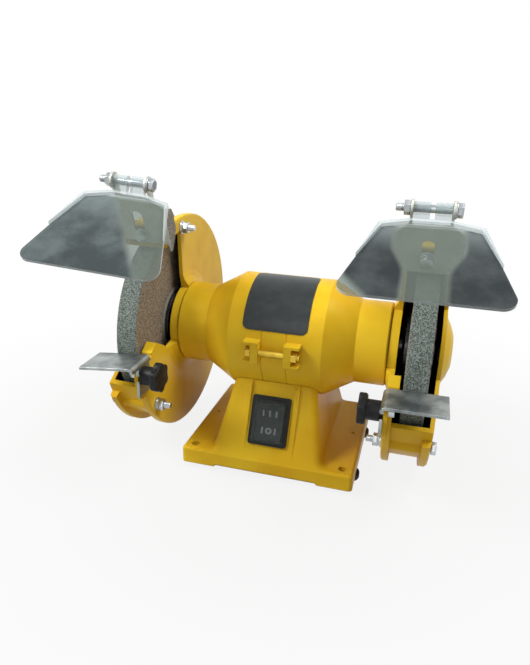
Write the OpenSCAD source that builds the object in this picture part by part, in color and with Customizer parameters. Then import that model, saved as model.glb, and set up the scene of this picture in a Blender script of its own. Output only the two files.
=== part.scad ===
// Bench grinder for two 150 mm wheels, millimetres.
// Origin on the bench under the middle of the motor, +X along the spindle to the
// right, -Y towards the user, +Z up.

/* [Base] */
// Width of the foot plate
base_w = 138; // [134:1:146]
// Depth of the foot plate
base_d = 123.5; // [116:0.5:128]
// Height of the foot plate's skirt
skirt_h = 13.5; // [12:0.5:17]
// Wall of the base casting
cast_wall = 4; // [3:0.5:5]
// Radius of the foot plate's upright corners
plate_corner_r = 3; // [3:0.5:6]
// Rounding of the foot plate's top edge
plate_edge_r = 2.5; // [1:0.5:3]
// Width of the pedestal where it leaves the foot plate
pedestal_w = 88; // [82:1:94]
// Width of the pedestal under the motor
pedestal_top_w = 64; // [60:1:68]
// Depth of the pedestal under the motor
pedestal_top_d = 69; // [64:1:72]
// Radius of the pedestal's upright corners
pedestal_corner_r = 6; // [4:1:8]
// Fillet between the pedestal's sides and the foot plate
pedestal_fillet = 5; // [3:1:7]
// How far the two ribs beside the switch stand out at the top
rib_rise = 4.5; // [3:0.5:6]
// Thickness of a rib beside the switch
rib_t = 4; // [3:0.5:5]
// Radius of the holes that bolt the grinder down
bolt_hole_r = 3.25; // [2.75:0.25:3.5]
// From the foot plate's sides to the bolt-down holes
bolt_edge_x = 9; // [8:0.5:10]
// From the foot plate's front and back to the bolt-down holes
bolt_edge_y = 8.25; // [8:0.25:9.5]

/* [Feet and bottom cover] */
// Height of a rubber foot
foot_h = 5; // [4:0.5:8]
// Radius of a rubber foot
foot_r = 10; // [8:0.5:11]
// From the foot plate's sides to the foot centres
foot_edge = 7.5; // [7:0.5:9]
// Foot centres front to back
foot_span_y = 68; // [60:1:76]
// Thickness of the bottom cover
cover_t = 1.5; // [1:0.25:2]

/* [Switch] */
// Width of the switch bezel
bezel_w = 30.5; // [29:0.5:32]
// Height of the switch bezel, along the slope
bezel_h = 38.5; // [37:0.5:40]
// How far the bezel stands off the pedestal
bezel_t = 2.2; // [1.5:0.1:3]
// Width of the bezel's border
bezel_border = 3.5; // [3:0.25:4]
// Height of the switch's centre above the bench
switch_z = 46.5; // [44:0.5:49]
// Depth of the switch body behind the bezel
switch_depth = 20; // [16:1:22]
// Full swing of the rocker, in degrees
rocker_swing = 16; // [10:1:18]

/* [Motor] */
// Height of the spindle above the bench
shaft_z = 104; // [102:0.5:108]
// Radius of the motor drum
drum_r = 46; // [44:0.5:47]
// Length of the motor drum
drum_len = 73; // [70:1:76]
// Radius of the necks at both ends of the motor
neck_r = 33; // [31:0.5:34]
// Length of each cone between drum and neck
cone_len = 22.5; // [20:0.5:25]
// Length of the motor over both necks
motor_len = 166.8; // [164:0.4:172]
// Width of the band between the two end bells
band_w = 19.4; // [17:0.2:22]
// Wall of the end bells
bell_wall = 4; // [3.5:0.25:4.5]
// Chamfer at the seams of the motor's shells
seam_chamfer = 0.5; // [0.3:0.1:0.8]
// Width of the cable gland's bore
gland_bore_r = 3.5; // [3:0.25:4]

/* [Spindle and wheels] */
// Radius of a grinding wheel
wheel_r = 75; // [73:0.5:76]
// Width of a grinding wheel
wheel_t = 16; // [14:1:18]
// Radius of the spindle in its bearings
spindle_r = 7.5; // [7.1:0.1:8]
// Radius of the spindle's ends, which carry the wheels
arbor_r = 6.35; // [6:0.05:6.5]
// Radius of the wheel flanges
flange_r = 26; // [24:1:28]
// Space between the inner guard's plate and the wheel
wheel_gap = 7.3; // [7:0.1:8]

/* [Guards] */
// Space between a full wheel and the band round it
wheel_room = 4; // [3:0.5:5]
// How far the guards' rims stand out round that band
rim_rise = 6; // [5:0.5:8]
// Thickness of that band
guard_band_t = 4; // [3:0.5:4.5]
// Thickness of the inner guard's plate
guard_plate_t = 3; // [2.5:0.25:3.5]
// Step from the motor's neck to the inner guard's plate
guard_step = 3.6; // [3:0.2:5]
// Inside width of the guard, plate to cover
guard_inner_w = 27; // [26:0.5:30]
// Wall of the outer cover
shell_t = 3; // [2:0.25:3.5]
// How far the dome over the spindle nut stands out
dome_rise = 9; // [9:0.5:12]
// Where the guard ends above the user, in degrees forward of the top
guard_top_deg = 28.5; // [25:0.5:32]
// Where the band's front lip lies, in degrees below the spindle
guard_lip_deg = 21; // [19:0.5:24]

/* [Tool rests] */
// Gap between a full wheel and its tool rest
rest_gap = 1.5; // [1.2:0.1:3]
// Length of the tool rest, along the spindle
rest_len = 42; // [38:0.5:44]
// Depth of the tool rest
rest_depth = 28.5; // [26:0.5:32]
// Thickness of the tool rest's sheet
rest_t = 2; // [1.5:0.25:2.5]
// Height of the tool rest's top below the spindle
rest_drop = 1.6; // [1:0.1:3]
// How far the left rest's plate is bent down at its end, in degrees
left_rest_droop = 6; // [0:0.5:8]
// Depth of the tool rest's leg
rest_leg_d = 17; // [16:0.5:18]
// Radius of the knob's head over its lobes
knob_r = 11.5; // [10:0.5:12]
// Radius of the knob's hub
knob_hub_r = 7; // [6:0.5:8]

/* [Visors] */
// Width of a visor bracket
bracket_w = 45; // [43:0.5:47]
// Thickness of a bracket's sheet
bracket_t = 1.6; // [1.2:0.1:2]
// Depth of a bracket's side flanges
bracket_flange = 11; // [8:0.5:12]
// Width of a bracket's slot
bracket_slot_w = 8; // [7:0.25:9]
// Distance from the band to the bracket bolt
bracket_bolt_out = 9; // [8:0.5:10]
// How far the left bracket is drawn out past the right one
left_bracket_out = 6; // [3:0.5:6]
// Skew of the left bracket about its bolt, in degrees
left_bracket_skew = 5; // [0:0.5:6]
// How far the left bracket sits outwards on its bolt
left_bracket_shift = 1.3; // [0:0.1:1.3]
// Distance from the bracket bolt to the hinge of a bracket at its inner setting
hinge_out = 39; // [37:0.5:41]
// Width of the visor at the hinge
visor_top_w = 62; // [60:1:68]
// Width of the visor at its free edge
visor_low_w = 98.5; // [90:0.5:100]
// Length of the visor, hinge to free edge
visor_len = 78.5; // [74:0.5:82]
// Thickness of the visor
visor_t = 2; // [1.75:0.25:3]
// Slope of the right visor, in degrees below the horizontal
right_visor_slope = 24; // [20:1:30]
// Slope of the left visor, in degrees below the horizontal
left_visor_slope = 31; // [22:1:34]

/* [Hidden] */

$fn = 96;
// Segments of small fasteners
small_fn = 32;
// Cutters reach this far past what they cut
over = 1;
// A length greater than any piece
far = 400;
// Gap between pieces of one body that lie side by side
seat_gap = 0.1;
// Gap between faces that slide on each other
slide_gap = 0.1;
// Radial play of a running fit
run_play = 0.06;

// Colours
yellow = [0.93, 0.74, 0.08];
black = [0.09, 0.09, 0.10];
charcoal = [0.20, 0.22, 0.24];
rubber_black = [0.06, 0.06, 0.06];
zinc = [0.66, 0.68, 0.70];
steel = [0.58, 0.59, 0.60];
grit = [0.38, 0.42, 0.41];
smoke = [0.55, 0.60, 0.58, 0.45];
clear = [0.80, 0.84, 0.84, 0.35];
copper = [0.72, 0.43, 0.20];
white = [0.92, 0.92, 0.90];
paper_grey = [0.62, 0.60, 0.55];
aluminium_grey = [0.74, 0.75, 0.76];

// M4 and M5 fasteners
m4_r = 2;
m5_r = 2.5;
// Across corners, half: nuts and hexagon heads of M5 and M4
m5_hex_r = 4.62;
m4_head_r = 3.6;
m5_head_h = 3.5;
m4_head_h = 2.4;
m5_nut_h = 4;
m5_washer_r = 6;
washer_t = 1;
spring_t = 1.3;
// Clearance of a screw in a plain hole
hole_play = 0.2;

// Base heights
plate_z = foot_h + skirt_h;
plate_under_z = plate_z - cast_wall;
pedestal_base_d = base_d - 2;
bolt_span_x = base_w - 2 * bolt_edge_x;
bolt_span_y = base_d - 2 * bolt_edge_y;
foot_span_x = base_w - 2 * foot_edge;
saddle_play = 0.2;
saddle_drop = 28;
pedestal_top_z = shaft_z - saddle_drop;
pedestal_rise = pedestal_top_z - plate_z;
face_tilt = atan((pedestal_base_d - pedestal_top_d) / 2 / pedestal_rise);
side_slope = (pedestal_w - pedestal_top_w) / 2 / pedestal_rise;
face_wall = cast_wall / cos(face_tilt);
// The saddle over the pedestal's hollow
saddle_r = drum_r + saddle_play + cast_wall;
hollow_top_z = shaft_z - saddle_r;
corner_steps = 6;
fillet_steps = 5;

// Screws of the bottom cover
cover_screw_x = base_w / 2 - 8.5;
cover_screw_places = [[-cover_screw_x, 2.5], [cover_screw_x, 2.5]];
cover_screw_r = 1.6;
cover_screw_head_r = 3;
cover_screw_head_h = 1.4;
screw_column_r = 4.5;
bolt_column_r = 7;
foot_column_r = 6;
foot_recess_r = 4.6;
foot_head_z = 1.5;
cover_z = foot_h;

// Switch, in a frame whose z axis leaves the pedestal's front face
switch_y = -(pedestal_base_d / 2 - (switch_z - plate_z) * tan(face_tilt));
window_w = bezel_w - 2 * bezel_border;
window_h = bezel_h - 2 * bezel_border;
switch_body_w = bezel_w - 3.5;
switch_body_h = bezel_h - 2.5;
switch_wall = 1.5;
rocker_w = window_w - 2;
rocker_half = window_h / 2 - 1.75;
rocker_pivot_z = -6;
rocker_end_rise = 2.5;
rocker_mid_rise = 0.4;
rocker_low_z = -9;
rocker_face_deg = atan((rocker_end_rise - rocker_mid_rise) / rocker_half);
pivot_r = 1.5;
mark_t = 0.3;
mark_w = 1.2;
mark_h = 5;
mark_step = 5.2;
boot_t = 0.8;
boot_rise = 4;
rib_x = bezel_w / 2 + 2;
rib_run = 5;

// Gland and capacitor
gland_x = -22;
gland_z = 40;
gland_r = 6;
gland_flange_r = 9;
gland_nut_h = 4;
gland_nose = 9;
capacitor_r = 13;
capacitor_len = 48;
capacitor_y = 14;
capacitor_z = cover_z + cover_t + capacitor_r + seat_gap;
clamp_w = 12;
clamp_t = 1;
clamp_tab = 8;
clamp_screw_r = 1.5;
clamp_screw_head_r = 2.8;

// Motor stations along the spindle, from its middle
half_band = band_w / 2;
half_drum = drum_len / 2;
cone_end_x = half_drum + cone_len;
bell_end_x = motor_len / 2;
bell_in_r = drum_r - bell_wall;
neck_in_r = neck_r - bell_wall;
end_wall_x = bell_end_x - bell_wall;
neck_chamfer = 1.5;
bearing_w = 11;
bearing_r = 17.5;
bearing_in_r = end_wall_x - bearing_w;
seat_wall = 4;
ball_r = 2.6;
ball_count = 8;
ball_pitch_r = (bearing_r + spindle_r) / 2;
race_play = 0.08;
race_edge = 1.6;
bell_hole_r = spindle_r + 2.5;
core_len = 44;
core_bore_r = 24;
air_gap = 0.5;
slot_count = 12;
slot_w = 5;
slot_depth = 9;
winding_len = 11;
winding_in_r = core_bore_r + 2;
winding_out_r = bell_in_r - 4;
rotor_ring_len = 5;
rotor_r = core_bore_r - air_gap;

// Lugs and tie bolts at the front and back of the drum
lug_len = 12;
lug_half_h = 8.5;
lug_rise = 8;
lug_floor = 6;
lug_wall = 2;
tie_r = drum_r + 4.5;
label_half_w = 25;
label_low_deg = 19;
label_high_deg = 96;
label_corner_r = 5;
label_t = 0.4;
saddle_screw_x = 20;

// Guard radii
guard_in_r = wheel_r + wheel_room;
band_out_r = guard_in_r + guard_band_t;
guard_rim_r = band_out_r + rim_rise;
rim_in_r = band_out_r + 1;
guard_bolt_r = guard_in_r + 2;
bracket_bolt_r = band_out_r + bracket_bolt_out;
hinge_reach = bracket_bolt_r + hinge_out;

// Guard stations
plate_x = bell_end_x + guard_step;
plate_in_x = plate_x + guard_plate_t;
rim_x = plate_in_x + 2.4;
cover_in_x = plate_in_x + guard_inner_w;
cover_x = cover_in_x + shell_t;
cover_rim_x = cover_x - 6;
bolt_seat_x = cover_x + 0.5;
guard_hole_r = 13;
hub_keep_r = neck_r - 2;
cover_keep_r = neck_r + 3;
// The cover's cone, from a flat edge inside its rim to a collar round the dome
cover_edge_w = 8;
cover_edge_rise = 0.7;
cone_r = 60;
cone_rise = 1.5;
collar_rise = 2.2;
collar_r = 35;
dome_r = 27;
dome_foot_rise = 2.6;
dome_shoulder_r = 20;
dome_shoulder_rise = 6.5;
dome_top_r = 13;
dome_x = cover_x + dome_rise;
column_r = 5.5;
wheel_play = 1.5;
guard_bolt_degs = [6.5, 126.5, 246.5];
guard_screw_r = 25.5;
guard_screw_degs = [0, 120, 240];
rim_cut_deg = guard_lip_deg + 6;

// The mouth in both guards, ahead of the spindle
mouth_back = 9.2;
mouth_lean = 2.5;
mouth_bite = 0.5;
ledge_low_y = 43;
ledge_low_z = 9.5;
ledge_mid_y = 50;
ledge_mid_z = 4.5;
ledge_top_y = 62.5;
ledge_top_z = 2.2;
ledge_end_y = wheel_r - 4;
ledge_end_z = 3;
ledge_t = 3.2;
ledge_w = 5;

// Tool rest and knob
rest_top_z = shaft_z - rest_drop;
rest_back_y = -(wheel_r + rest_gap);
leg_in_x = plate_x - slide_gap;
leg_x = leg_in_x - rest_t;
leg_front_y = rest_back_y - 19.5;
leg_h = 26;
bend_r = 4;
bend_steps = 8;
stud_y = leg_front_y + rest_leg_d / 2 - 1;
stud_drop = 13;
stud_z = shaft_z - stud_drop;
stud_r = 3;
stud_slot_half = 5;
stud_slot_play = 0.3;
ear_r = 7;
ear_back = 2;
ear_low = 13;
knob_in_x = leg_x - slide_gap;
knob_hub_len = 9;
knob_head_t = 5.6;
lobe_count = 6;
lobe_r = 3.2;
stud_sink = 4;
stud_end_x = rim_x + 1.5;

// Spindle stations
wheel_x = plate_in_x + wheel_gap;
blotter_t = 0.4;
flange_disc_t = 4.4;
flange_hub_r = 11;
flange_relief_r = 19;
flange_relief = 1;
shoulder_x = plate_in_x - 2;
outer_flange_x = wheel_x + wheel_t + blotter_t;
outer_flange_t = 5;
arbor_nut_x = outer_flange_x + outer_flange_t;
arbor_nut_h = 5.5;
arbor_nut_r = 11;
spindle_end_x = arbor_nut_x + arbor_nut_h + 1;
bore_play = 0.05;

// Bracket, in a frame whose z axis runs out along the guard's end
bracket_x = wheel_x + wheel_t / 2 - 3.2;
web_low_r = guard_in_r + 1;
web_shoulder_r = bracket_bolt_r + 20;
web_top_r = bracket_bolt_r + 27.5;
ear_bend_r = hinge_reach - 5.2;
tab_r = guard_in_r - 5;
slot_low_r = bracket_bolt_r - left_bracket_out;
slot_high_r = slot_low_r + 17.5;
ear_in_x = 11.7;
hinge_ear_r = 5.6;
boss_half_w = 7;
boss_top_r = bracket_bolt_r + 8;
boss_len = 13;
boss_neck = 5;
bracket_bolt_len = 10;
left_setting = [left_bracket_out, left_bracket_skew, left_visor_slope, left_bracket_shift];
right_setting = [0, 0, right_visor_slope, 0];

// Visor, in a frame on the hinge axis with -y along the plate
knuckle_r = 4.25;
knuckle_half = 11.5;
knuckle_gap_half = 1.5;
visor_top = 11.5;
visor_neck = 6;
visor_drop = 7;
visor_corner_r = 8;
lip_w = 2.4;
lip_rise = 2.5;
lip_reach = 34;
hinge_bolt_head_h = 3.5;
hinge_bolt_end = 9;

// Points of a rounded rectangle w by d at height z, anticlockwise from above
function ring(w, d, r, z) = [
    for (corner = [0:3], k = [0:corner_steps])
        let (a = corner * 90 + k * 90 / corner_steps,
            sx = (corner == 0 || corner == 3) ? 1 : -1,
            sy = (corner < 2) ? 1 : -1)
        [sx * (w / 2 - r) + r * cos(a), sy * (d / 2 - r) + r * sin(a), z]
];

// A solid through rounded rectangles, each [w, d, r, z], from the lowest up
module loft(levels) {
    n = 4 * (corner_steps + 1);
    points = [for (l = levels) each ring(l[0], l[1], l[2], l[3])];
    last = (len(levels) - 1) * n;
    sides = [
        for (i = [0:len(levels) - 2], j = [0:n - 1])
            [i * n + j, (i + 1) * n + j, (i + 1) * n + (j + 1) % n, i * n + (j + 1) % n]
    ];
    bottom = [for (j = [0:n - 1]) j];
    top = [for (j = [n - 1:-1:0]) last + j];
    polyhedron(points, concat([bottom], sides, [top]), convexity = 6);
}

// Puts children on the spindle axis at x, with their z axis along +X
module on_spindle(x) {
    translate([x, 0, shaft_z]) rotate([0, 90, 0]) children();
}

// Puts children at the spindle's middle with their z axis "deg" forward of the top
module out_at(deg) {
    translate([0, 0, shaft_z]) rotate([deg, 0, 0]) children();
}

// Puts children, drawn for the right-hand side, on either side: 1 right, -1 left
module on_side(side) {
    mirror([side < 0 ? 1 : 0, 0, 0]) children();
}

// A solid of revolution about the spindle from [radius, x] points
module turned(points) {
    on_spindle(0) rotate_extrude() polygon(points);
}

module x_rod(x0, x1, r) {
    translate([x0, 0, 0]) rotate([0, 90, 0]) cylinder(h = x1 - x0, r = r);
}

module x_tube(x0, x1, r_out, r_in) {
    difference() {
        x_rod(x0, x1, r_out);
        x_rod(x0 - over, x1 + over, r_in);
    }
}

// A prism along X from [y, z] points
module x_prism(x0, x1, points) {
    translate([x0, 0, 0]) rotate([90, 0, 90]) linear_extrude(x1 - x0) polygon(points);
}

module x_hex(x0, x1, r) {
    translate([x0, 0, 0]) rotate([0, 90, 0]) cylinder(h = x1 - x0, r = r, $fn = 6);
}

module box(size, place) {
    translate([place[0] - size[0] / 2, place[1] - size[1] / 2, place[2]]) cube(size);
}

module slab(w, h, r, t) {
    linear_extrude(t) offset(r) square([w - 2 * r, h - 2 * r], center = true);
}

module at_corners(span_x, span_y) {
    for (sx = [-1, 1], sy = [-1, 1])
        translate([sx * span_x / 2, sy * span_y / 2, 0]) children();
}

// ---- Base ----

function pedestal_level(z, extra, wall_x, wall_y, r) =
    let (up = z - plate_z)
    [pedestal_w - 2 * side_slope * up + 2 * extra - 2 * wall_x,
        pedestal_base_d - 2 * tan(face_tilt) * up - 2 * wall_y, r, z];

function fillet_extra(up) = pedestal_fillet
    - sqrt(pow(pedestal_fillet, 2) - pow(pedestal_fillet - up, 2));

module pedestal_body() {
    loft(concat(
        [pedestal_level(plate_z - over, pedestal_fillet, 0, 0, pedestal_corner_r)],
        [for (k = [0:fillet_steps])
            let (up = pedestal_fillet * (1 - cos(90 * k / fillet_steps)))
            pedestal_level(plate_z + up, fillet_extra(up), 0, 0, pedestal_corner_r)],
        [pedestal_level(pedestal_top_z, 0, 0, 0, pedestal_corner_r)]));
}

module pedestal_hollow() {
    difference() {
        loft([
            pedestal_level(foot_h, 0, cast_wall, face_wall, pedestal_corner_r / 2),
            pedestal_level(pedestal_top_z - cast_wall, 0, cast_wall, face_wall,
                pedestal_corner_r / 2)]);
        on_spindle(-far / 2) cylinder(h = far, r = saddle_r);
    }
}

module plate_body() {
    loft(concat(
        [[base_w, base_d, plate_corner_r, foot_h],
            [base_w, base_d, plate_corner_r, plate_z - plate_edge_r]],
        [for (k = [1:fillet_steps])
            let (a = 90 * k / fillet_steps, inset = plate_edge_r * (1 - cos(a)))
            [base_w - 2 * inset, base_d - 2 * inset, plate_corner_r - inset,
                plate_z - plate_edge_r * (1 - sin(a))]]));
}

module plate_hollow() {
    translate([0, 0, foot_h - over])
        slab(base_w - 2 * cast_wall, base_d - 2 * cast_wall, plate_corner_r - cast_wall / 2,
            skirt_h - cast_wall + over);
}

module switch_ribs() {
    face_y = -pedestal_base_d / 2;
    foot_z = switch_z - bezel_h / 2 - rib_run;
    function face_at(z) = face_y + (z - plate_z) * tan(face_tilt);
    for (side = [-1, 1])
        on_side(side)
            x_prism(rib_x, rib_x + rib_t, [
                [face_at(foot_z), foot_z],
                [face_at(pedestal_top_z) - rib_rise, pedestal_top_z - rib_rise],
                [face_at(pedestal_top_z), pedestal_top_z],
                [face_at(pedestal_top_z) + rib_rise, pedestal_top_z - rib_rise],
                [face_at(foot_z) + over, foot_z]]);
}

module base_columns() {
    depth = plate_under_z - cover_z - cover_t + over;
    at_corners(bolt_span_x, bolt_span_y) translate([0, 0, foot_h])
        cylinder(h = skirt_h - over, r = bolt_column_r);
    at_corners(foot_span_x, foot_span_y) translate([0, 0, cover_z + cover_t])
        cylinder(h = depth, r = foot_column_r);
    for (place = cover_screw_places)
        translate([place[0], place[1], cover_z + cover_t])
            cylinder(h = depth, r = screw_column_r);
}

module base_casting() {
    color(yellow) difference() {
        union() {
            difference() {
                union() {
                    plate_body();
                    pedestal_body();
                    switch_ribs();
                }
                plate_hollow();
                pedestal_hollow();
            }
            intersection() {
                plate_body();
                base_columns();
            }
        }
        on_spindle(-far / 2) cylinder(h = far, r = drum_r + saddle_play);
        at_corners(bolt_span_x, bolt_span_y) cylinder(h = plate_z + over, r = bolt_hole_r);
        at_corners(foot_span_x, foot_span_y) cylinder(h = plate_under_z, r = m4_r);
        for (place = cover_screw_places)
            translate([place[0], place[1], 0]) cylinder(h = plate_z + over, r = cover_screw_r);
        for (side = [-1, 1])
            translate([side * saddle_screw_x, 0, hollow_top_z - over])
                cylinder(h = 2 * cast_wall, r = m5_r + hole_play);
        in_switch_frame()
            box([switch_body_w + 2 * seat_gap, switch_body_h + 2 * seat_gap,
                3 * cast_wall], [0, 0, -2 * cast_wall]);
        in_gland_frame() translate([0, 0, -3 * cast_wall])
            cylinder(h = 5 * cast_wall, r = gland_r + seat_gap);
    }
}

module bottom_cover() {
    play = 0.3;
    color(steel) difference() {
        translate([0, 0, cover_z])
            slab(base_w - 2 * (cast_wall + play), base_d - 2 * (cast_wall + play),
                plate_corner_r - cast_wall / 2, cover_t);
        at_corners(bolt_span_x, bolt_span_y)
            cylinder(h = plate_z, r = bolt_column_r + play);
        at_corners(foot_span_x, foot_span_y) cylinder(h = plate_z, r = m4_r + hole_play);
        for (place = cover_screw_places)
            translate([place[0], place[1], 0])
                cylinder(h = plate_z, r = cover_screw_r + hole_play);
        at_clamp_screws() cylinder(h = plate_z, r = clamp_screw_r);
    }
}

module cover_screws() {
    color(zinc) for (place = cover_screw_places)
        translate([place[0], place[1], cover_z - cover_screw_head_h]) {
            cylinder(h = cover_screw_head_h, r = cover_screw_head_r, $fn = small_fn);
            cylinder(h = cover_screw_head_h + skirt_h / 2, r = cover_screw_r, $fn = small_fn);
        }
}

module rubber_feet() {
    color(rubber_black) at_corners(foot_span_x, foot_span_y) difference() {
        rotate_extrude() polygon([[0, 0], [foot_r - 1, 0], [foot_r, 1],
            [foot_r, foot_h - 0.5], [foot_r - 0.5, foot_h], [0, foot_h]]);
        translate([0, 0, -over]) cylinder(h = foot_head_z + m4_head_h + over, r = foot_recess_r);
        cylinder(h = foot_h + over, r = m4_r + hole_play);
    }
}

module foot_screws() {
    color(zinc) at_corners(foot_span_x, foot_span_y) translate([0, 0, foot_head_z]) {
        cylinder(h = m4_head_h, r = m4_head_r, $fn = small_fn);
        cylinder(h = foot_h + skirt_h / 2, r = m4_r, $fn = small_fn);
    }
}

// ---- Switch ----

module in_switch_frame() {
    translate([0, switch_y, switch_z]) rotate([90 - face_tilt, 0, 0]) children();
}

module switch_housing() {
    inner_w = window_w;
    inner_h = window_h;
    color(black) in_switch_frame() difference() {
        union() {
            slab(bezel_w, bezel_h, 2, bezel_t);
            translate([0, 0, -switch_depth])
                slab(switch_body_w, switch_body_h, 1, switch_depth);
        }
        box([inner_w, inner_h, switch_depth + bezel_t], [0, 0, switch_wall - switch_depth]);
        translate([0, 0, rocker_pivot_z])
            x_rod(-window_w / 2 - switch_wall / 2, window_w / 2 + switch_wall / 2,
                pivot_r + run_play);
    }
}

// Puts children in the rocker's own frame, resting with its lower end pressed in
module in_rocker_frame() {
    in_switch_frame() translate([0, 0, rocker_pivot_z])
        rotate([rocker_swing / 2, 0, 0]) translate([0, 0, -rocker_pivot_z]) children();
}

module rocker() {
    color(charcoal) in_rocker_frame() {
        x_prism(-rocker_w / 2, rocker_w / 2, [
            [-rocker_half, rocker_end_rise], [0, rocker_mid_rise],
            [rocker_half, rocker_end_rise], [rocker_half - 0.5, -3],
            [rocker_half / 2, rocker_low_z], [-rocker_half / 2, rocker_low_z],
            [0.5 - rocker_half, -3]]);
        translate([0, 0, rocker_pivot_z])
            x_rod(-window_w / 2 - switch_wall / 2 + seat_gap,
                window_w / 2 + switch_wall / 2 - seat_gap, pivot_r);
    }
}

module rocker_marks() {
    color(white) in_rocker_frame() for (end = [-1, 1])
        translate([0, 0, rocker_mid_rise]) rotate([end * rocker_face_deg, 0, 0])
            translate([0, end * rocker_half / 2, 0]) {
                for (k = [-1, 1]) box([mark_w, mark_h, mark_t], [k * mark_step, 0, 0]);
                if (end > 0) box([mark_w, mark_h, mark_t], [0, 0, 0]);
                if (end < 0) difference() {
                    cylinder(h = mark_t, r = mark_h / 2, $fn = small_fn);
                    translate([0, 0, -over])
                        cylinder(h = 2 * over, r = mark_h / 2 - mark_w, $fn = small_fn);
                }
            }
}

module switch_boot() {
    brim = 1.5;
    color(clear) in_switch_frame() translate([0, 0, bezel_t]) difference() {
        union() {
            slab(window_w + 2 * brim, window_h + 2 * brim, 2, boot_t);
            slab(window_w, window_h, 1.5, boot_rise);
        }
        translate([0, 0, -over])
            slab(window_w - 2 * boot_t, window_h - 2 * boot_t, 1, boot_rise - boot_t + over);
    }
}

// ---- Gland and capacitor ----

module in_gland_frame() {
    y = pedestal_base_d / 2 - (gland_z - plate_z) * tan(face_tilt);
    translate([gland_x, y, gland_z]) rotate([face_tilt - 90, 0, 0]) children();
}

module cable_gland() {
    color(black) in_gland_frame() difference() {
        union() {
            cylinder(h = 3, r = gland_flange_r, $fn = 6);
            rotate_extrude() polygon([[0, 0], [gland_r + 1, 0], [gland_r + 1, gland_nose - 2],
                [gland_r - 1, gland_nose], [0, gland_nose]]);
            translate([0, 0, -cast_wall - gland_nut_h - 1])
                cylinder(h = cast_wall + gland_nut_h + 1, r = gland_r);
        }
        translate([0, 0, -far / 2]) cylinder(h = far, r = gland_bore_r);
    }
}

module gland_nut() {
    color(black) in_gland_frame() translate([0, 0, -cast_wall - gland_nut_h])
        difference() {
            cylinder(h = gland_nut_h - seat_gap, r = gland_flange_r, $fn = 6);
            translate([0, 0, -over]) cylinder(h = gland_nut_h + 2 * over, r = gland_r);
        }
}

module capacitor() {
    color(aluminium_grey) translate([0, capacitor_y, capacitor_z])
        x_rod(-capacitor_len / 2, capacitor_len / 2, capacitor_r);
}

module at_clamp_screws() {
    for (side = [-1, 1])
        translate([0, capacitor_y + side * (capacitor_r + clamp_tab / 2 + clamp_t), 0])
            children();
}

module capacitor_clamp() {
    strap_r = capacitor_r + seat_gap;
    floor_z = cover_z + cover_t;
    color(zinc) difference() {
        union() {
            translate([0, capacitor_y, capacitor_z]) intersection() {
                x_tube(-clamp_w / 2, clamp_w / 2, strap_r + clamp_t, strap_r);
                box([far, far, far], [0, 0, 0]);
            }
            for (side = [-1, 1]) {
                box([clamp_w, clamp_t, capacitor_z - floor_z],
                    [0, capacitor_y + side * (strap_r + clamp_t / 2), floor_z]);
                box([clamp_w, clamp_tab, clamp_t],
                    [0, capacitor_y + side * (strap_r + clamp_tab / 2), floor_z]);
            }
        }
        at_clamp_screws() cylinder(h = plate_z, r = clamp_screw_r + hole_play);
    }
}

module clamp_screws() {
    color(zinc) at_clamp_screws() translate([0, 0, cover_z]) {
        cylinder(h = cover_t + clamp_t + 1, r = clamp_screw_r, $fn = small_fn);
        translate([0, 0, cover_t + clamp_t])
            cylinder(h = 2, r = clamp_screw_head_r, $fn = small_fn);
    }
}

// ---- Motor ----

module lug_block() {
    lug_y = drum_r + lug_rise;
    for (end = [-1, 1]) mirror([0, end > 0 ? 1 : 0, 0]) difference() {
        translate([half_band, -lug_y, shaft_z - lug_half_h])
            cube([lug_len, lug_y - drum_r + bell_wall, 2 * lug_half_h]);
        translate([half_band + lug_floor, -lug_y - over,
                shaft_z - lug_half_h + lug_wall])
            cube([lug_len, lug_rise + over, 2 * (lug_half_h - lug_wall)]);
    }
}

module bell(side) {
    color(yellow) on_side(side) difference() {
        union() {
            turned([
                [drum_r - seam_chamfer, half_band], [drum_r, half_band + seam_chamfer],
                [drum_r, half_drum], [neck_r, cone_end_x],
                [neck_r, bell_end_x - neck_chamfer], [neck_r - neck_chamfer, bell_end_x],
                [bell_hole_r, bell_end_x], [bell_hole_r, end_wall_x],
                [bearing_r, end_wall_x], [bearing_r, bearing_in_r],
                [bearing_r + seat_wall, bearing_in_r], [bearing_r + seat_wall, end_wall_x],
                [neck_in_r, end_wall_x], [neck_in_r, cone_end_x],
                [bell_in_r, half_drum], [bell_in_r, half_band]]);
            lug_block();
        }
        for (end = [-1, 1])
            translate([0, end * tie_r, shaft_z]) x_rod(0, far / 2, m5_r + hole_play);
        for (deg = guard_screw_degs)
            out_at(deg) translate([0, 0, guard_screw_r])
                x_rod(end_wall_x - over, far / 2, m4_r);
        translate([saddle_screw_x, 0, shaft_z - drum_r - over])
            cylinder(h = bell_wall + 2 * over, r = m5_r);
    }
}

module bell_left() {
    bell(-1);
}

module bell_right() {
    bell(1);
}

module stator_shell() {
    edge = half_band - seat_gap / 2;
    color(yellow) turned([
        [bell_in_r, -edge], [drum_r - seam_chamfer, -edge],
        [drum_r, seam_chamfer - edge], [drum_r, edge - seam_chamfer],
        [drum_r - seam_chamfer, edge], [bell_in_r, edge]]);
}

module stator_core() {
    color(steel) on_spindle(-core_len / 2) difference() {
        cylinder(h = core_len, r = bell_in_r - seat_gap);
        translate([0, 0, -over]) cylinder(h = core_len + 2 * over, r = core_bore_r);
        for (k = [0:slot_count - 1])
            rotate([0, 0, k * 360 / slot_count])
                translate([core_bore_r + slot_depth / 2 + 1.5, 0, -over])
                    box([slot_depth, slot_w, core_len + 2 * over], [0, 0, 0]);
    }
}

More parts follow.
